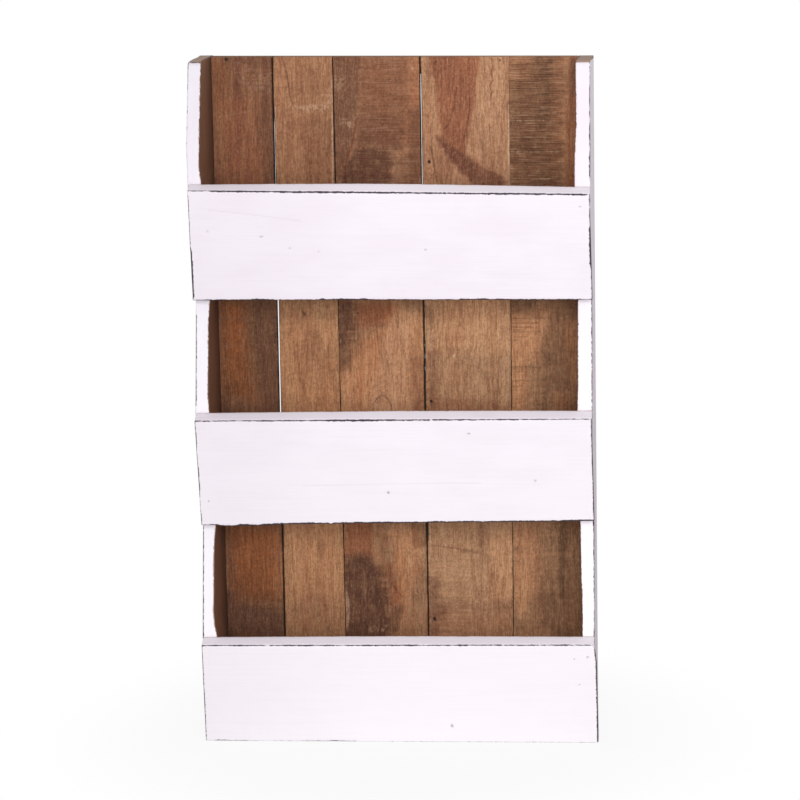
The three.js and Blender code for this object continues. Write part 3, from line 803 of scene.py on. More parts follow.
def side_board(side, settings, material):
    """One saw-toothed side board, painted outside and in front, and bare brown inside."""
    cad = "side_board_" + side
    low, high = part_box(cad)
    height, thick = high.z, high.x - low.x
    knots = side_profile(side, height)
    heights = np.unique(np.round(np.concatenate([
        np.linspace(0, height, round(height / settings.side_step)),
        [z for z, _ in knots],
        [z - CORNER_ROW for z, _ in knots[1:]],
        [z + CORNER_ROW for z, _ in knots[1:-1]],
        FOOT_ROWS,
        [height - down for down in TOP_ROWS],
    ]), 6))
    fine = lines(TOP_DEPTH, SIDE_ROWS)
    shares, faces = slab(fine, list(heights / height), lines(thick, *SIDE_THROUGH), fine)
    a, b, c = shares.T
    z = height * b
    edge_depth = np.interp(z, *zip(*knots))
    near_top = np.clip(z - (height - TOP_CORNER), 0, TOP_CORNER)
    edge_depth = edge_depth - (TOP_CORNER - np.sqrt(TOP_CORNER ** 2 - near_top ** 2))
    inward, outer = (1, low.x) if side == "left" else (-1, high.x)
    d = edge_depth * a
    w = thick * c
    seed = SIDE_SEED[side]
    worn_down, bare_down, rawness = SIDE_TOP[side]
    d = d - np.maximum(wander(z, w, seed, SAWN_SIDE), 0) * a
    w = w + HOLLOW[0] * (1 + noise(z, d, HOLLOW[1], seed + 2)) * (1 - 2 * c)
    gap_d, gap_z, gap_w = (d, edge_depth - d), (z, height - z), (w, thick - w)
    _, place_y = picture(np.stack((outer + inward * w, CAD_BOX[1].y - d, z), -1))
    need = {face: along_edge(place_y, profile) for face, profile in SIDE_WEAR[side].items()}
    uneven = 1 + SIDE_UNEVEN * noise(z, d + w, WEAR_CELL, seed + 3)
    nearer = np.where(c < 0.5, need["outer"], need["inner"])
    radius = settings.arris * (SIDE_ROUND[0] + SIDE_ROUND[1] * uneven * nearer)
    local = rounded(np.stack([d, z, w], -1), (gap_d, gap_z, gap_w), radius)
    local[:, 1] -= worn_down * MM * smooth(d, *WORN_REAR) * smooth(z, height - WORN_TOP, height)
    bow = {face: along_edge(place_y, profile) * MM for face, profile in SIDE_LEAN[side].items()}
    forward = smooth(d, 0, LEAN_DEPTH)
    local[:, 2] -= bow["inner"] * c * forward
    local[:, 2] -= (bow["outer"] * forward + bow["rear"] * (1 - forward)) * (1 - c)
    scale = settings.wear * uneven
    rubbed = need["outer"] * scale - np.hypot(gap_d[1], gap_w[0]) / MM
    thin = INNER_WEAR * need["inner"] * scale - np.hypot(gap_d[1], gap_w[1]) / MM
    rear = SIDE_REAR_WEAR * uneven - np.hypot(gap_d[0], gap_w[0]) / MM
    from_top = np.hypot(gap_z[1], np.minimum(gap_w[0], gap_d[1]))
    crown = CROWN_WEAR * uneven - from_top / MM
    patchy = 1.0 + 0.9 * noise(d, w, TOP_PATCH, seed + 5)
    top_end = np.where(gap_z[1] < bare_down * MM, patchy, NO_WEAR)
    behind = np.minimum((gap_d[1] - gap_w[1]) / MM - PAINT_LAP, ALL_WEAR)
    inner_face = np.where(c > 0.99, behind, np.where(gap_w[1] < INNER_ROWS, behind - 1, NO_WEAR))
    back_edge = np.where(gap_d[0] < 0.1 * MM, ALL_WEAR, NO_WEAR)
    bare = np.maximum.reduce([rubbed, thin, rear, crown, top_end, inner_face, back_edge])
    fresh = (thin >= bare) * rawness + (top_end >= bare) * TOP_RAW
    inside = (np.maximum(inner_face, back_edge) > -0.5) + TOP_BROWN * (top_end >= bare)
    fields = {"wear": bare, "fresh": np.clip(fresh, 0, 1), "mark": np.zeros(len(d)), "inside": inside}
    points = np.stack([outer + inward * local[:, 2], CAD_BOX[1].y - local[:, 0], local[:, 1]], -1)
    board(side + "_side", points, faces, fields, material, cad)


# Back planks

# Stains, marks and some painted shade of each plank by kind, in picture pixels (about a millimetre
# each). An area is its strength, softness and the x and y of its corners; two corners stand for a
# whole rectangle.
# A crack, scratch or ink line is its size and the x and y of its points.
PLANK_MARKS = {
    1: {
        "dark": (
            (0.3, 3, 262, 84, 274, 80, 276, 190, 264, 190), (0.3, 6, 224, 55, 273, 55, 273, 66, 226, 64),
            (0.42, 8, 250, 298, 282, 298, 284, 415, 268, 415, 258, 380, 248, 330),
            (0.45, 14, 208, 375, 235, 385, 235, 420, 206, 420),
            # The next two areas: painted shade in the corner beside the left side board
            (0.55, 3, 206, 290, 214, 290, 216, 420, 206, 420),
            (0.6, 3, 206, 515, 221, 515, 222, 655, 206, 655),
            (0.7, 5, 208, 586, 236, 590, 236, 650, 208, 650),
            (0.6, 14, 212, 594, 292, 608, 292, 650, 210, 650), (0.4, 8, 210, 520, 228, 650),
        ),
        "warm": (
            (0.3, 6, 211, 60, 225, 60, 222, 110, 211, 110),
            (0.95, 10, 224, 302, 242, 302, 252, 398, 224, 398),
            (0.9, 10, 228, 526, 274, 526, 276, 600, 232, 600),
        ),
        "light": (
            (0.3, 9, 220, 98, 252, 94, 262, 185, 224, 185),
            (0.22, 6, 226, 306, 240, 306, 242, 350, 228, 350), (0.4, 6, 270, 530, 290, 588),
            (0.18, 8, 238, 528, 290, 528, 290, 575, 240, 575),
        ),
        "flake": (
            (0.36, 4, 231, 64, 250, 68, 272, 74, 272, 96, 246, 86, 236, 76),
        ),
        "scratch": (
            (0.3, 231, 63.4, 238, 62.2, 246, 65.6), (0.2, 229, 71, 239, 72.6, 245, 76),
            (0.2, 256, 70.4, 262, 74.4, 271, 73), (0.2, 252, 79, 266, 80.6, 274, 78.6),
            (0.3, 220, 117, 250, 111),
        ),
        "ink": (
            (1.7, 225.6, 59, 226, 59.4), (0.4, 275, 336, 274.5, 343),
        ),
    },
    2: {
        "dark": (
            (0.25, 10, 284, 56, 331, 56, 333, 118, 286, 118),
            (0.45, 10, 300, 118, 336, 112, 336, 190, 302, 190),
            (0.2, 14, 276, 108, 333, 108, 336, 192, 276, 192),
            (0.5, 3, 303, 148, 326, 139, 326, 142, 304, 151),
            (1, 1.2, 301.5, 310.5, 305, 312, 307, 316, 304, 317, 302, 314),
            (0.18, 14, 284, 588, 346, 594, 346, 650, 284, 650),
        ),
        "light": (
            (0.24, 14, 284, 322, 336, 318, 338, 422, 282, 422),
            (0.34, 6, 318, 354, 338, 354, 338, 412, 308, 412), (0.22, 14, 288, 522, 344, 600),
        ),
        "pale": (
            (0.9, 0.5, 274.2, 108, 275.6, 108, 276.6, 185, 275.2, 185),
            (0.8, 0.5, 331.4, 75, 332.8, 75, 333.4, 185, 332, 185),
        ),
        "flake": (
            (0.6, 3, 293, 106, 328, 103, 333, 92, 333, 110, 310, 113, 293, 110),
        ),
        "crack": (
            (1, 282, 57, 287, 75, 290, 97, 293, 106), (0.5, 276, 88, 300, 87, 330, 86),
        ),
        "scratch": (
            (0.4, 294, 106, 302, 107.6, 311, 104.6, 319, 105.6, 326, 102.4, 331, 103.6),
            (0.3, 316, 97.6, 324, 94.4, 331, 95.4), (0.3, 327, 91, 330, 88),
        ),
        "ink": (
            (0.2, 301, 94, 301.4, 94.4),
        ),
    },
    3: {
        "dark": (
            (0.8, 5, 344, 162, 358, 149, 374, 144, 391, 150, 392, 192, 336, 192),
            (0.55, 6, 352, 112, 404, 154), (0.35, 4, 392, 158, 412, 192),
            (0.5, 6, 408, 109, 424, 105, 426, 192, 406, 192),
            (0.34, 8, 358, 52, 408, 52, 408, 150, 352, 150),
            (0.8, 9, 334, 296, 354, 296, 356, 330, 346, 352, 334, 352),
            (0.55, 4, 334, 350, 352, 354, 350, 371, 334, 370),
            # The second area on the next line is the painted shadow under the front above
            (0.5, 3, 376, 324, 388, 323, 389, 327, 378, 329), (0.25, 6, 406, 296, 426, 310),
            (0.4, 5, 410, 355, 428, 350, 430, 420, 412, 420),
            (0.85, 7, 342, 556, 367, 554, 381, 568, 390, 600, 395, 650, 342, 650),
            (0.55, 3, 388, 612, 397, 606, 405, 607, 402, 618, 397, 632, 389, 640),
            (0.35, 4, 411, 522, 428, 522, 428, 550, 413, 550), (0.2, 6, 408, 552, 426, 602),
        ),
        "warm": (
            (0.9, 0.8, 356, 118, 358, 118, 353.5, 142, 342.5, 177, 340.5, 176, 351.5, 142),
            (0.35, 10, 362, 58, 422, 145), (0.75, 8, 356, 306, 396, 303, 390, 324, 358, 326),
            (0.25, 5, 350, 338, 368, 338, 366, 352, 350, 361), (0.75, 5, 344, 520, 374, 558),
            (0.65, 4, 385, 562, 392, 562, 396, 585, 402, 592, 402, 606, 391, 608, 388, 590),
        ),
        "light": (
            (0.15, 8, 408, 56, 424, 108),
            (0.55, 7, 392, 304, 426, 316, 430, 420, 340, 420, 340, 372, 372, 336),
            (0.6, 8, 390, 314, 408, 314, 410, 414, 374, 414, 372, 376),
            (0.45, 7, 380, 526, 424, 530, 424, 552, 404, 620, 396, 566),
        ),
        "pale": (
            (1, 1, 411, 67, 413, 69), (0.36, 7, 372, 384, 386, 332, 392, 314, 408, 314, 410, 416, 364, 416),
            (0.55, 0.8, 343.5, 589, 347, 592, 349.5, 603, 350, 615, 347.5, 630, 345, 631, 346, 615, 343.5,
             603),
        ),
        "grey": (
            (0.62, 3, 330, 52, 361, 52, 359, 105, 357, 125, 350, 150, 340, 190, 330, 190),
            (0.4, 5, 361, 52, 371, 52, 367, 112, 358, 112),
        ),
        "saw": (
            (0.45, 8, 362, 52, 424, 52, 424, 192, 352, 192),
        ),
        "flake": (
            (0.62, 2, 339, 119, 350, 120, 350, 128, 341, 127),
            (0.35, 3, 334, 76, 344, 76, 346, 92, 336, 91),
            (0.4, 1.5, 368, 627, 390, 625, 389, 632, 370, 633),
        ),
        "crack": (
            (1, 372, 413, 373.5, 404, 377, 398.5, 382.5, 395.4, 388, 399, 391.5, 406, 392.5, 413),
            (0.7, 390, 580, 395.5, 588, 402, 597),
        ),
        "scratch": (
            (0.2, 357, 129, 387, 128),
        ),
        "ink": (
            (0.8, 357.5, 312.8, 357.9, 313.2),
        ),
    },
    4: {
        "dark": (
            (0.8, 3, 437, 136, 452, 147, 475, 160, 492, 171, 505, 178, 506, 190, 477, 190, 459, 170, 448,
             159, 441, 147), (0.3, 6, 424, 54, 452, 78), (0.4, 4, 424, 308, 431, 320),
            (0.45, 4, 426, 352, 438, 420), (0.6, 4, 428, 575, 440, 640),
            (0.6, 6, 426, 598, 450, 602, 448, 622, 426, 622),
            (0.45, 1.5, 460, 549, 476, 550, 480, 554, 463, 553), (0.35, 4, 428, 600, 514, 611),
        ),
        "warm": (
            (1, 2.5, 428, 52, 479, 52, 475, 105, 467, 141, 462, 160, 474, 183, 451, 160, 444, 144, 439,
             120, 435, 82), (0.5, 6, 428, 398, 512, 402, 512, 420, 428, 420), (0.35, 8, 428, 612, 516, 650),
        ),
        "light": (
            (0.25, 10, 438, 296, 512, 350), (0.25, 8, 488, 535, 514, 600),
        ),
        "pale": (
            (1, 0.6, 452.6, 355, 454.8, 357.2), (1, 0.5, 507.8, 104, 509.8, 104, 510.4, 188, 508.6, 188),
        ),
        "saw": (
            (0.35, 6, 430, 556, 472, 640),
        ),
        "crack": (
            (1, 456.6, 88, 454, 107, 448.6, 125, 444, 129), (0.9, 469, 78, 470, 108, 464, 140),
            (0.9, 431, 146, 437, 182), (0.7, 450, 165, 445, 186),
            (0.7, 491.4, 58, 492.8, 67, 491, 73, 493, 80, 489.5, 86, 491.5, 92, 489.5, 100),
            (0.5, 431, 545.5, 449, 547.5, 462, 549, 481, 553), (0.3, 430, 611.7, 470, 612.5, 513, 611.5),
        ),
        "ink": (
            (0.8, 436, 61.2, 436.3, 61.5), (0.55, 484.4, 70, 484.7, 70.3), (0.75, 499.8, 60.3, 500.1, 60.6),
            (1.5, 429, 161.6, 429.5, 162.4), (0.8, 433, 341, 433.2, 341.3), (1.3, 431, 400.8, 431.3, 401.6),
            (1.5, 434.4, 618.3, 435.1, 619.3),
        ),
    },
    5: {
        "dark": (
            (0.5, 8, 507, 84, 552, 80, 554, 192, 509, 192),
            (0.55, 12, 505, 116, 562, 118, 562, 192, 508, 192),
            (0.42, 6, 541, 345, 556, 294, 584, 294, 584, 420, 538, 420),
            (0.6, 6, 506, 294, 540, 294, 537, 318, 508, 314),
            (0.45, 2, 512, 365.6, 522, 366, 538, 367.4, 522, 369.5, 512, 370),
            (0.42, 6, 553, 518, 570, 518, 573, 650, 553, 650), (0.25, 5, 570, 518, 590, 650),
            (0.5, 2, 513, 546, 519, 551), (0.35, 4, 515, 619, 524, 630),
            # The second area on the next line is the painted shadow under the front above
            (0.65, 8, 532, 58, 553, 58, 553, 140, 538, 140), (0.4, 7, 536, 296, 584, 312),
            (0.6, 12, 540, 350, 557, 346, 554, 404, 538, 404),
            (0.4, 10, 541, 536, 558, 536, 558, 632, 539, 632), (0.6, 10, 538, 588, 560, 626),
            (0.75, 3, 559, 518, 567, 518, 564, 600, 557, 600),
        ),
        "warm": (
            (0.5, 1.5, 569, 50, 582, 50, 582, 192, 567, 192),
        ),
        "light": (
            (0.42, 7, 508, 308, 548, 308, 538, 362, 508, 362), (0.35, 4, 571, 318, 586, 415),
            (0.28, 5, 550, 110, 570, 165), (0.28, 5, 513, 526, 526, 612), (0.5, 4, 567, 96, 580, 190),
            (0.15, 8, 524, 318, 556, 335), (0.75, 8, 566, 322, 584, 322, 584, 384, 570, 384),
            (0.55, 6, 554, 392, 570, 412), (0.5, 5, 511, 352, 526, 352, 524, 412, 511, 412),
            (0.34, 10, 518, 526, 534, 526, 537, 602, 520, 602),
        ),
        "saw": (
            (0.9, 6, 506, 52, 564, 192), (0.25, 5, 508, 304, 536, 340),
        ),
        "flake": (
            (0.6, 1.2, 512, 112, 560, 113.2), (0.6, 1.2, 512, 120, 560, 121.2),
            (0.6, 1.2, 512, 151.4, 560, 152.6), (0.5, 1.2, 512, 177.4, 560, 178.6),
        ),
        "crack": (
            (0.5, 512, 309.6, 524, 309, 547, 310.4), (0.35, 513, 312.8, 538, 312),
            (0.4, 516, 315.4, 529, 315.2), (0.6, 512, 318.4, 530, 318.6, 550, 317.4),
            (0.3, 514, 320.8, 526, 320.4), (0.45, 512, 323.2, 522, 322.8, 539, 322.8),
            (0.4, 512, 327.2, 531, 327), (0.3, 514, 329.8, 525, 329.6), (0.45, 512, 332, 540, 331.4),
            (0.4, 515, 337, 528, 336.8), (0.3, 512, 340, 521, 339.8),
            (0.55, 512, 367, 524, 366.6, 537, 368), (0.35, 513, 372, 525, 371.8),
            (0.5, 512, 381, 522, 380.4, 534, 381.8), (0.4, 513, 386, 522, 386.2),
            (0.3, 514, 390.2, 520, 390), (0.35, 513, 399, 521, 399.2), (0.3, 513, 403.4, 519, 403.2),
        ),
        "scratch": (
            (0.6, 578, 631, 581, 637),
        ),
    },
}
LINE_MARKS = ("crack", "scratch", "ink")
AREA_FIELDS = ("dark", "warm", "pale", "light")

# Colours of each plank: body, its lighter bands, heartwood, stain and raised fibres
PLANK_COLOURS = {
    1: ("#84573f", "#926848", "#90562f", "#57392a", "#b8937c"),
    2: ("#b2805c", "#bd8f67", "#a1674a", "#7a5036", "#d9b395"),
    3: ("#a97956", "#b68b68", "#9a5a38", "#613c2b", "#d4ad8c"),
    4: ("#bb8c67", "#c79b75", "#a46b4b", "#7c4d39", "#e2c29f"),
    5: ("#b2825f", "#be906a", "#8f5a40", "#60402c", "#d0ae8c"),
}
PLANK_SAW = (0.05, 0.08, 0.16, 0.05, 0.14)
# Spread of each plank's left and right edge toward its neighbour at heights, in mm
PLANK_SPREAD = (
    (None, ((0, 1.0), (230, 1.0), (250, 0.15), (460, 0.15), (470, 0.7), (700, 0.7))),
    (((0, 1.0), (230, 1.0), (250, 0.15), (460, 0.15), (470, 0.4), (630, 0.4), (650, 1.3), (700, 1.3)), None),
    (None, ((0, 1.0), (466, 1.0), (480, 0.8), (700, 0.8))),
    (((0, 1.05), (370, 1.05), (378, 0.5), (384, 0.95), (390, 0.45), (396, 0.95), (402, 0.5), (408, 1.05),
      (466, 1.05), (480, 0.5), (680, 0.5), (690, 1.0), (700, 1.0)), None),
    (None, None),
)
# The same at the closed joints and at the outer planks' sides
SEAM_SPREAD = 0.3
WALL_SPREAD = 0.6
# Width of the dark edge along each joint at heights, in mm
JOINT_SHADE = (
    ((0, 0.45), (230, 0.45), (250, 0.35), (460, 0.3), (470, 0.4), (700, 0.45)),
    ((0, 0.1), (150, 0.1), (190, 0.35), (235, 0.4), (300, 0.3), (350, 0.4), (375, 0.0), (460, 0.1),
     (550, 0.5), (680, 0.6), (700, 0.2)),
    ((0, 0.1), (195, 0.2), (205, 0.8), (235, 0.8), (300, 0.5), (372, 0.5), (378, 0.4), (402, 0.4),
     (408, 0.5), (465, 0.4), (480, 0.35), (700, 0.35)),
    ((0, 0.3), (140, 0.3), (180, 0.2), (220, 0.0), (338, 0.1), (370, 0.25), (400, 0.1), (460, 0.2),
     (480, -1.0), (700, -0.8)),
)
TONES = ("body", "band", "heart", "stain", "fibre")
# Heights in mm where a front hides the planks and where they show again, by turns; hidden rows
# are this many times as far apart
HIDDEN_AND_SEEN = (0, 82, 226, 318, 456, 556)
HIDDEN_STEPS = 4
# Share of the marks that shows on a plank's rear, and strengths of what no table row gives
REAR_MARKS = 0.35
PATCH_STRENGTH = 0.35
CHIP_PALENESS = 0.35
SCRATCH_PALENESS = 0.4
# How far a mark's outline is bent, in pixels across and down, and the share of that for lines
BEND = (2.2, 3.0)
LINE_BEND = (0.25, 0.2)
BEND_CELL = 14 * MM
# Share of an area's softness by which the fibres break its border
FIBRE_BREAK = 0.8
# Half widths of the soft borders of cracks and scratches, in pixels
CRACK_BORDER = (1.2, 0.1)
SCRATCH_BORDER = (0.8, -0.4)
# How far a sawn edge may stand out instead of in, and the distance in which chips pale an edge
MOST_OUT = 0.1 * MM
PALE_EDGE = (2.6 * MM, 1.3 * MM)
CHIP_CELL = 7 * MM
CHIP_RANGE = (0.25, 0.6)
# How much the joints' spread and their dark edges vary, with the lengths of that
SPREAD_VARIES = (0.9, 0.25, 30 * MM)
SHADE_VARIES = ((0.2, 17 * MM), (0.35, 9 * MM))
# How far the planks' faces lie inside their CAD faces, and depths of swells and saw marks
PLANK_SINK = 0.25 * MM
SWELL_DEPTH = 0.12 * MM
SAW_DEPTH = 0.1 * MM


def plank_edges(cad):
    """X of a plank's left and right edges at its lower and upper end, and the heights of its top."""
    points = node_points(cad)
    middle = points[:, 2].mean()
    ends = []
    for part in (points[points[:, 2] < middle], points[points[:, 2] > middle]):
        ends.append((part[:, 0].min(), part[:, 0].max()))
    centre = sum(ends[1]) / 2
    tops = [points[side, 2].max() for side in (points[:, 0] < centre, points[:, 0] > centre)]
    return *ends, tops


def area_corners(numbers):
    """Corners of an area; two corners stand for a whole rectangle."""
    corners = list(zip(numbers[::2], numbers[1::2]))
    if len(corners) == 2:
        (left, top), (right, low) = corners
        corners = [(left, top), (right, top), (right, low), (left, low)]
    return corners


def plank_values(number, x, z, picture_x, picture_y, seed):
    """Fields of a plank's stains, painted shade, marks, saw marks and ink."""
    values = {key: np.zeros(len(x)) for key in AREA_FIELDS}
    values["saw"] = np.full(len(x), PLANK_SAW[number - 1]) * (0.7 + 0.5 * noise(x, z, 40 * MM, seed + 12))
    values["ink"] = np.full(len(x), -9.0)
    warp_x = BEND[0] * noise(x, z * 0.3, BEND_CELL, seed + 8)
    warp_y = BEND[1] * noise(x, z, BEND_CELL, seed + 9)
    specks = smooth(noise(x, z, 2.6 * MM, seed + 10), -0.15, 0.2)
    streaks = noise(x * 0.15, z, 3.2 * MM, seed + 18)

    def add(key, value):
        values[key] = np.maximum(values[key], value)

    for kind, marks in PLANK_MARKS[number].items():
        for size, *numbers in marks:
            if kind in LINE_MARKS:
                points = list(zip(numbers[::2], numbers[1::2]))
                reach = distance(
                    picture_x + LINE_BEND[0] * warp_x, picture_y + LINE_BEND[1] * warp_y, points)
                if kind == "ink":
                    add("ink", size - reach)
                elif kind == "crack":
                    add("dark", size * smooth(reach, *CRACK_BORDER))
                else:
                    far, near = (size + border for border in SCRATCH_BORDER)
                    add("pale", SCRATCH_PALENESS * smooth(reach, far, near))
                continue
            soft, *numbers = numbers
            bend = min(1, soft / 4)
            reach = distance(
                picture_x + bend * warp_x, picture_y + bend * warp_y, area_corners(numbers), True)
            share = size * smooth(reach + FIBRE_BREAK * soft * streaks, soft, -soft)
            if kind == "flake":
                add("pale", share * specks)
            else:
                add("dark" if kind == "grey" else kind, share)
    return values


def back_plank(number, settings, material):
    """One upright plank with rounded, chipped edges, sawn relief, its own stains and some painted shade."""
    cad = f"back_plank_{number}"
    low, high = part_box(cad)
    (left_low, right_low), (left_high, right_high), (left_top, right_top) = plank_edges(cad)
    wide, tall, thick = high.x - low.x, high.z - low.z, high.y - low.y
    step = settings.grid_step / MM
    ends = (*HIDDEN_AND_SEEN, tall / MM)
    rows = [tall / MM - 0.5, tall / MM]
    for index, (start, end) in enumerate(zip(ends, ends[1:])):
        rows += list(np.arange(start, end - 0.4, step if index % 2 else HIDDEN_STEPS * step))
    heights = np.unique(np.round(np.array(rows) * MM, 6))
    shares, faces = slab(lines(wide, step), list(heights / tall), lines(thick, *THROUGH),
                         lines(wide, PLANK_REAR_ROWS))
    a, b, c = shares.T
    top = left_top + (right_top - left_top) * a
    z = low.z + (top - low.z) * b
    left = left_low + (left_high - left_low) * b
    right = right_low + (right_high - right_low) * b
    x = left + (right - left) * a
    w = thick * c
    seed = 131 * number
    chips = smooth(noise(z, w, CHIP_CELL, seed + 5), *CHIP_RANGE)
    in_left = np.maximum(wander(z, w, seed, SAWN_PLANK), -MOST_OUT)
    in_right = np.maximum(wander(z, w, seed + 2, SAWN_PLANK), -MOST_OUT)
    x = x + in_left * (1 - a) - in_right * a
    gap_x, gap_z, gap_w = (x - left, right - x), (z - low.z, top - z), (w, thick - w)
    at_wall = (number == 1, number == 5)
    lips = []
    for joint, wall in zip(PLANK_SPREAD[number - 1], at_wall):
        joint = joint or ((0, WALL_SPREAD if wall else SEAM_SPREAD),)
        lips.append(along_edge(z / MM, joint))
    middle, varies, cell = SPREAD_VARIES
    spread = middle + varies * noise(z, 0 * z, cell, seed + 21)
    x = x + (lips[1] * a - lips[0] * (1 - a)) * MM * spread
    radius = settings.plank_arris * (PLANK_ROUND[0] + PLANK_ROUND[1] * chips)
    local = rounded(np.stack([x, z, w], -1), (gap_x, gap_z, gap_w), radius)
    picture_x, picture_y = picture(np.stack([x, np.full(len(x), low.y), z], -1))
    values = plank_values(number, x, z, picture_x, picture_y, seed)
    for key in AREA_FIELDS:
        values[key] *= np.where(c < 0.5, REAR_MARKS, 1.0)
    patch = smooth(noise(x * 1.5, z * 0.4, 26 * MM, seed + 14, 4), 0.15, 0.75)
    values["dark"] = np.maximum(values["dark"], PATCH_STRENGTH * patch)
    dusk = 0
    for order, (varies, cell) in enumerate(SHADE_VARIES):
        dusk = dusk + varies * noise(z, 0 * z, cell, seed + 22 + order)
    for side, (lip, gap, wall) in enumerate(zip(lips, gap_x, at_wall)):
        if not wall:
            deep = along_edge(z / MM, JOINT_SHADE[number - 2 + side]) + dusk
            values["ink"] = np.maximum(values["ink"], deep + 0.5 * lip - gap / MM)
    worn = smooth(np.minimum(*gap_x), *PALE_EDGE) * chips * (gap_w[1] < 0.3 * MM)
    values["pale"] = np.maximum(values["pale"], CHIP_PALENESS * worn)
    swells = SWELL_DEPTH * noise(x, z, 60 * MM, seed + 15)
    swells += SAW_DEPTH * values["saw"] * noise(x * 0.05, z, 3.4 * MM, seed + 16, 2)
    local[:, 2] -= (PLANK_SINK + swells) * (2 * c - 1)
    # The fibres lean a little, each plank's own way
    lean = 4 * MM * noise(x * 0.4, z, 130 * MM, seed + 17, 2)
    grain = np.stack([x + lean * (z - low.z) / tall * 2, w, z], -1)
    points = np.stack([local[:, 0], high.y - local[:, 2], local[:, 1]], -1)
    board(f"plank_{number}", points, faces, {**values, "grain": grain}, material, cad)


# Nails

NAIL_SIDES = 20
SHANK_SIDES = 10
# A nail head's thickness, the height of the cone under it, and its rim as a share of its radius
HEAD_THICKNESS = 0.35 * MM
HEAD_CONE = 0.6 * MM
HEAD_RIM = 0.82
# The shanks end a little sooner than in the CAD, so no tip shows on a floor
HIDDEN_TIP = 7 * MM
# The floors' ends run on into the leaning sides, so no slit shows beside them
FLOOR_REACH = 1.014
# Front nails whose paint is gone
OPEN_NAILS = (
    "floor_nail_bottom_front", "floor_nail_middle_front", "front_nail_bottom_right_upper",
    "front_nail_middle_left_lower", "front_nail_top_right_lower", "front_nail_top_right_upper",
)


def nail_line(cad):
    """Head end, direction into the wood and length of a CAD nail."""
    points = node_points(cad)
    middle = points.mean(0)
    axis = np.linalg.svd(points - middle, full_matrices=False)[2][0]
    along = (points - middle) @ axis
    off = np.linalg.norm(points - middle - np.outer(along, axis), axis=1)
    if along[off.argmax()] > 0:
        axis, along = -axis, -along
    start = points.mean(0) + axis * along.min()
    centre = points[along < along.min() + 0.5 * MM].mean(0)
    start += centre - (start + axis * ((centre - start) @ axis))
    return start, axis, along.max() - along.min()


def nail_tree():
    """Geometry Nodes: a nail on every point, turned to the point's own axis and length."""
    tree = bpy.data.node_groups.new("Nails", "GeometryNodeTree")
    sockets = (("Points", "Geometry"), ("Head diameter", "Float"), ("Shank diameter", "Float"),
               ("Finish", "Material"))
    for name, kind in sockets:
        tree.interface.new_socket(name, in_out="INPUT", socket_type="NodeSocket" + kind)
    tree.interface.new_socket("Nails", in_out="OUTPUT", socket_type="NodeSocketGeometry")
    given = node(tree, "NodeGroupInput", out=None)
    head = node(tree, "ShaderNodeMath", (given["Head diameter"], 0.5), operation="MULTIPLY")
    shank = node(tree, "ShaderNodeMath", (given["Shank diameter"], 0.5), operation="MULTIPLY")
    rim = node(tree, "ShaderNodeMath", (head, HEAD_RIM), operation="MULTIPLY")
    disc = node(tree, "GeometryNodeMeshCone", {
        "Vertices": NAIL_SIDES, "Side Segments": 1, "Fill Segments": 2,
        "Radius Top": head, "Radius Bottom": rim, "Depth": HEAD_THICKNESS})
    under = node(tree, "GeometryNodeMeshCone", {
        "Vertices": NAIL_SIDES, "Radius Top": shank, "Radius Bottom": head, "Depth": HEAD_CONE})
    under = node(tree, "GeometryNodeTransform", {
        "Geometry": under, "Translation": (0, 0, HEAD_THICKNESS)})
    # The shank is one unit long here, so the point's own length can stretch it
    rod = node(tree, "GeometryNodeMeshCylinder", {
        "Vertices": SHANK_SIDES, "Side Segments": 1, "Radius": shank, "Depth": 1.0})
    rod = node(tree, "GeometryNodeTransform", {"Geometry": rod, "Translation": (0, 0, 0.5)})
    axis = node(
        tree, "GeometryNodeInputNamedAttribute", {"Name": "axis"}, "Attribute", data_type="FLOAT_VECTOR")
    length = node(
        tree, "GeometryNodeInputNamedAttribute", {"Name": "length"}, "Attribute", data_type="FLOAT")
    turn = node(tree, "FunctionNodeAlignRotationToVector", {"Vector": axis}, axis="Z")
    whole_head = node(tree, "GeometryNodeJoinGeometry", ([disc, under],))
    heads = node(tree, "GeometryNodeInstanceOnPoints", {
        "Points": given["Points"], "Instance": whole_head, "Rotation": turn})
    stretch = node(tree, "ShaderNodeCombineXYZ", (1.0, 1.0, length))
    shanks = node(tree, "GeometryNodeInstanceOnPoints", {
        "Points": given["Points"], "Instance": rod, "Rotation": turn, "Scale": stretch})
    both = node(tree, "GeometryNodeJoinGeometry", ([heads, shanks],))
    real = node(tree, "GeometryNodeRealizeInstances", (both,))
    done = node(tree, "GeometryNodeSetMaterial", {"Geometry": real, "Material": given["Finish"]})
    node(tree, "NodeGroupOutput", (done,), None)
    return tree


def grow(name, tree, points, fields, inputs):
    """A plain mesh made by a Geometry Nodes tree on loose points with their fields."""
    seeds = bpy.data.meshes.new(name + "_points")
    seeds.from_pydata([tuple(p) for p in points], [], [])
    set_fields(seeds, fields)
    holder = bpy.data.objects.new(name, seeds)
    bpy.context.scene.collection.objects.link(holder)
    modifier = holder.modifiers.new("Build", "NODES")
    modifier.node_group = tree
    for item in tree.interface.items_tree:
        if item.in_out == "INPUT" and item.name in inputs:
            modifier[item.identifier] = inputs[item.name]
    bpy.context.view_layer.update()
    graph = bpy.context.evaluated_depsgraph_get()
    mesh = bpy.data.meshes.new_from_object(holder.evaluated_get(graph))
    holder.modifiers.remove(modifier)
    holder.data = mesh
    mesh.name = name
    return holder


def nails(name, nodes, settings, tree, material):
    """One group of like nails, with their heads where the CAD heads are."""
    starts, axes, lengths = zip(*(nail_line(cad) for cad in nodes))
    inputs = {"Head diameter": settings.head, "Shank diameter": settings.shank, "Finish": material}
    fields = {"axis": np.array(axes), "length": np.array(lengths) - HIDDEN_TIP}
    made = grow(name, tree, starts, fields, inputs)
    for polygon in made.data.polygons:
        polygon.use_smooth = False
    stand_for(made, nodes)


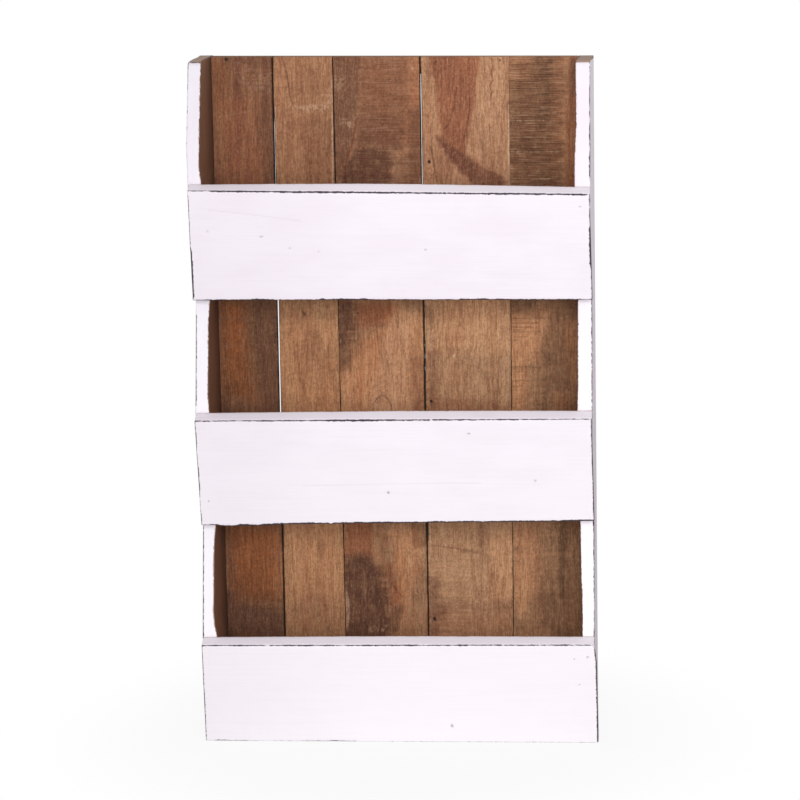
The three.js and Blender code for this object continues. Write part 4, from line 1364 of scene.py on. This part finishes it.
def longer_floor(name, material):
    """A pocket's floor whose ends run on into the sides."""
    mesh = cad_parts[name].data.copy()
    shell = bmesh.new()
    shell.from_mesh(mesh)
    bmesh.ops.remove_doubles(shell, verts=shell.verts, dist=0.01 * MM)
    for vertex in shell.verts:
        vertex.co.x *= FLOOR_REACH
    shell.to_mesh(mesh)
    shell.free()
    mesh.materials.clear()
    mesh.materials.append(material)
    made = bpy.data.objects.new(name.replace("pocket_floor", "floor_board"), mesh)
    bpy.context.scene.collection.objects.link(made)
    stand_for(made, [name])


def refinish(made, material):
    """Puts a material in every slot of a CAD node."""
    if not made.material_slots:
        made.data.materials.append(material)
    for slot in made.material_slots:
        slot.material = material


# Settings

def colour_setting(name, description, code):
    """A colour property with its default."""
    return bpy.props.FloatVectorProperty(
        name=name, description=description, subtype="COLOR", size=3, min=0, max=1, default=linear(code))


def length_setting(name, description, millimetres):
    """A length property with its default."""
    return bpy.props.FloatProperty(
        name=name, description=description, subtype="DISTANCE", unit="LENGTH", precision=4,
        min=0, default=millimetres * MM)


class RackPaint(bpy.types.PropertyGroup):
    """The painted fronts and sides."""

    paint: colour_setting("Paint", "Brushed chalk paint", "#f6eff7")
    shadow: colour_setting("Thin paint", "Thinner coat with the wood's tone in it", "#efe6ee")
    old_wood: colour_setting("Old wood", "Dark wood where the paint is rubbed off", "#2f2833")
    raw_wood: colour_setting("Raw wood", "Beige wood along the rear edges", "#bb9f8d")
    bare_wood: colour_setting("Bare inside", "Unpainted inner faces of the sides", "#8d6146")
    arris: length_setting("Edge radius", "Radius of a worn edge", 0.8)
    wear: bpy.props.FloatProperty(
        name="Wear", description="Scale of the bare width along the edges", min=0, max=3, default=1)
    grid_step: length_setting("Grid", "Spacing of the front boards' vertices", 1.25)
    side_step: length_setting("Side grid", "Spacing of the sides' vertices", 1.9)


class RackPlanks(bpy.types.PropertyGroup):
    """The five reclaimed back planks."""

    __annotations__ = {
        f"{tone}_{number}": colour_setting(
            f"Plank {number} {tone}", f"Colour of the {tone} of plank {number}", code)
        for number, codes in PLANK_COLOURS.items() for tone, code in zip(TONES, codes)
    }
    __annotations__["plank_arris"] = length_setting("Edge radius", "Radius of a plank's edge", 0.7)
    __annotations__["grid_step"] = length_setting("Grid", "Spacing of the planks' vertices where seen", 0.9)


class RackFastenings(bpy.types.PropertyGroup):
    """Nails, screws, hangers and the hidden boards."""

    head: length_setting("Nail head", "Diameter of a nail head", 2.9)
    shank: length_setting("Nail shank", "Diameter of a nail", 1.8)
    steel: colour_setting("Steel", "Old bright steel of the nails", "#5d5654")
    rust: colour_setting("Rust", "Oxide on the nails", "#3a2a24")
    zinc: colour_setting("Zinc", "Zinc plate of the hangers and screws", "#b9bcc2")
    floor_wood: colour_setting("Hidden boards", "Pocket floors and batten", "#8a6a4f")


class RackStage(bpy.types.PropertyGroup):
    """Lamps, floor and background."""

    key: bpy.props.FloatProperty(
        name="Key lamp", description="Power of the large soft lamp in front", unit="POWER", min=0,
        default=108)
    fill: bpy.props.FloatProperty(
        name="Room light", description="Strength of the even light from all round", min=0, default=0.56)
    floor: colour_setting("Floor", "Pale floor under the rack", "#d2d2d2")


# Operators

LAMP_PLACE = (0.6, -4.0, 1.5)
LAMP_SIZE = 2.2
LAMP_AIM = (0, 0, 0.35)
STAGE_REACH = 4.0
# Distances from the rack between which the floor fades into the white background
FLOOR_FADE = (0.16, 0.42, 0.9, 1.0)
WHITE = (1, 1, 1, 1)


def seen_white(tree):
    """1 for the rays that see plain white instead of the room: camera, gloss and glass."""
    path = node(tree, "ShaderNodeLightPath", out=None)
    seen = path["Is Camera Ray"]
    for ray in ("Is Glossy Ray", "Is Transmission Ray"):
        seen = node(tree, "ShaderNodeMath", (seen, path[ray]), operation="MAXIMUM")
    return seen


class RACK_OT_stage(bpy.types.Operator):
    """Make the camera, lamps, floor and background"""

    bl_idname = "rack.stage"
    bl_label = "Stage"

    def execute(self, context):
        settings = context.scene.rack_stage
        scene = context.scene
        scene.view_settings.view_transform = "Standard"
        right, up, forward = camera_axes()
        data = bpy.data.cameras.new("Camera")
        data.sensor_width = SENSOR
        data.lens = FOCAL_PIXELS * SENSOR / PICTURE
        data.clip_end = 100
        camera = bpy.data.objects.new("Camera", data)
        turn = Matrix((right, up, -forward)).transposed()
        camera.matrix_world = Matrix.Translation(CAMERA_PLACE) @ turn.to_4x4()
        scene.collection.objects.link(camera)
        scene.camera = camera
        self.lamp(scene, settings.key)
        self.world(scene, settings.fill)
        self.floor(scene, settings.floor)
        return {"FINISHED"}

    def lamp(self, scene, power):
        """A large square soft lamp that looks at the rack's middle."""
        data = bpy.data.lights.new("Key", "AREA")
        data.energy = power
        data.size = LAMP_SIZE
        made = bpy.data.objects.new("Key", data)
        aim = (Vector(LAMP_AIM) - Vector(LAMP_PLACE)).to_track_quat("-Z", "Y")
        made.matrix_world = Matrix.Translation(LAMP_PLACE) @ aim.to_matrix().to_4x4()
        scene.collection.objects.link(made)

    def world(self, scene, fill):
        """Even room light; the camera, gloss and glass see plain white instead."""
        world = bpy.data.worlds.new("Room")
        world.use_nodes = True
        tree = world.node_tree
        tree.nodes.clear()
        light = node(tree, "ShaderNodeBackground", {"Color": WHITE, "Strength": fill})
        white = node(tree, "ShaderNodeBackground", {"Color": WHITE, "Strength": 1.0})
        both = node(tree, "ShaderNodeMixShader", (seen_white(tree), light, white))
        node(tree, "ShaderNodeOutputWorld", (both,), None)
        scene.world = world

    def floor(self, scene, tint):
        """A pale floor that keeps the rack's shadow and fades into the white background."""
        mesh = bpy.data.meshes.new("floor")
        reach = STAGE_REACH
        corners = [(-reach, -reach, 0), (reach, -reach, 0), (reach, reach, 0), (-reach, reach, 0)]
        mesh.from_pydata(corners, [], [(0, 1, 2, 3)])
        made, tree, place = new_material("Pale studio floor")
        away = node(tree, "ShaderNodeVectorMath", (place,), "Value", operation="LENGTH")
        fade = node(tree, "ShaderNodeMapRange", (away, *FLOOR_FADE), **SOFT)
        share = node(tree, "ShaderNodeMath", (fade, seen_white(tree)), operation="MULTIPLY")
        dull = node(tree, "ShaderNodeBsdfDiffuse", {"Color": colour(tint)})
        white = node(tree, "ShaderNodeEmission", {"Color": WHITE, "Strength": 1.0})
        both = node(tree, "ShaderNodeMixShader", (share, dull, white))
        node(tree, "ShaderNodeOutputMaterial", (both,), None)
        mesh.materials.append(made)
        plane = bpy.data.objects.new("floor", mesh)
        scene.collection.objects.link(plane)


class RACK_OT_fronts(bpy.types.Operator):
    """Make the three painted front boards"""

    bl_idname = "rack.fronts"
    bl_label = "Front boards"

    def execute(self, context):
        settings = context.scene.rack_paint
        material = worn_paint("Brushed chalk paint on fronts", settings, 3)
        for name in POCKETS:
            front_board(name, settings, material)
        return {"FINISHED"}


class RACK_OT_sides(bpy.types.Operator):
    """Make the two saw-toothed side boards"""

    bl_idname = "rack.sides"
    bl_label = "Side boards"

    def execute(self, context):
        settings = context.scene.rack_paint
        material = worn_paint("Brushed chalk paint on sides", settings, 7, False)
        for side in SIDE_SEED:
            side_board(side, settings, material)
        return {"FINISHED"}


class RACK_OT_planks(bpy.types.Operator):
    """Make the five reclaimed back planks"""

    bl_idname = "rack.planks"
    bl_label = "Back planks"

    def execute(self, context):
        settings = context.scene.rack_planks
        for number in PLANK_COLOURS:
            tones = [tuple(getattr(settings, f"{tone}_{number}")) for tone in TONES]
            material = reclaimed_wood(f"Reclaimed teak plank {number}", *tones, number * 5.3)
            back_plank(number, settings, material)
        return {"FINISHED"}


class RACK_OT_fastenings(bpy.types.Operator):
    """Make the nails, and finish the screws, hangers and hidden boards"""

    bl_idname = "rack.fastenings"
    bl_label = "Nails and hidden parts"

    def execute(self, context):
        settings = context.scene.rack_fastenings
        steel = aged_metal("Rusted wire nail", settings.steel, settings.rust, 0.45, 0.8, 1.2)
        zinc = aged_metal("Zinc plated steel", settings.zinc, "#9a9da3", 0.28, 0.5, 6)
        coated = worn_paint("Painted-over nail head", context.scene.rack_paint, 5)
        boards = plain_wood("Sawn board across", settings.floor_wood, "#6d513c")
        tree = nail_tree()
        names = sorted(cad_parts)
        face = [n for n in names if n.startswith(("floor_nail_", "front_nail_")) and "front" in n]
        flank = [n for n in names if n.startswith("floor_nail_") and n not in face]
        flank += ["batten_nail_left", "batten_nail_right"]
        wood = [n for n in names if n.startswith(("batten_nail_", "plank_nail_")) and n not in flank]
        nails("open_front_nails", OPEN_NAILS, settings, tree, steel)
        nails("painted_front_nails", [n for n in face if n not in OPEN_NAILS], settings, tree, coated)
        nails("painted_side_nails", flank, settings, tree, coated)
        nails("plank_nails", wood, settings, tree, steel)
        for name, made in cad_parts.items():
            if name.startswith("hanger_"):
                refinish(made, zinc)
            elif name == "top_batten":
                refinish(made, boards)
            elif name.startswith("pocket_floor_"):
                longer_floor(name, boards)
        return {"FINISHED"}


class RACK_PT_panel(bpy.types.Panel):
    """Steps and settings of the rack"""

    bl_idname = "RACK_PT_panel"
    bl_label = "Newspaper rack"
    bl_space_type = "VIEW_3D"
    bl_region_type = "UI"
    bl_category = "Rack"

    def draw(self, context):
        for label, step, group in STEPS:
            box = self.layout.box()
            box.operator(step, text=label)
            settings = getattr(context.scene, group)
            for name in type(settings).__annotations__:
                box.prop(settings, name)


STEPS = (
    ("Stage", "rack.stage", "rack_stage"),
    ("Front boards", "rack.fronts", "rack_paint"),
    ("Side boards", "rack.sides", "rack_paint"),
    ("Back planks", "rack.planks", "rack_planks"),
    ("Nails and hidden parts", "rack.fastenings", "rack_fastenings"),
)
GROUPS = {"rack_paint": RackPaint, "rack_planks": RackPlanks, "rack_fastenings": RackFastenings,
          "rack_stage": RackStage}
CLASSES = (*GROUPS.values(), RACK_OT_stage, RACK_OT_fronts, RACK_OT_sides, RACK_OT_planks,
           RACK_OT_fastenings, RACK_PT_panel)


def register():
    """Adds the classes and the scene's settings."""
    for made in CLASSES:
        bpy.utils.register_class(made)
    for name, group in GROUPS.items():
        setattr(bpy.types.Scene, name, bpy.props.PointerProperty(type=group))


def unregister():
    """Removes them again."""
    for name in GROUPS:
        delattr(bpy.types.Scene, name)
    for made in reversed(CLASSES):
        bpy.utils.unregister_class(made)


def main():
    """Makes every piece in order."""
    register()
    for _, step, _ in STEPS:
        area, name = step.split(".")
        getattr(getattr(bpy.ops, area), name)()


if __name__ == "__main__":
    main()
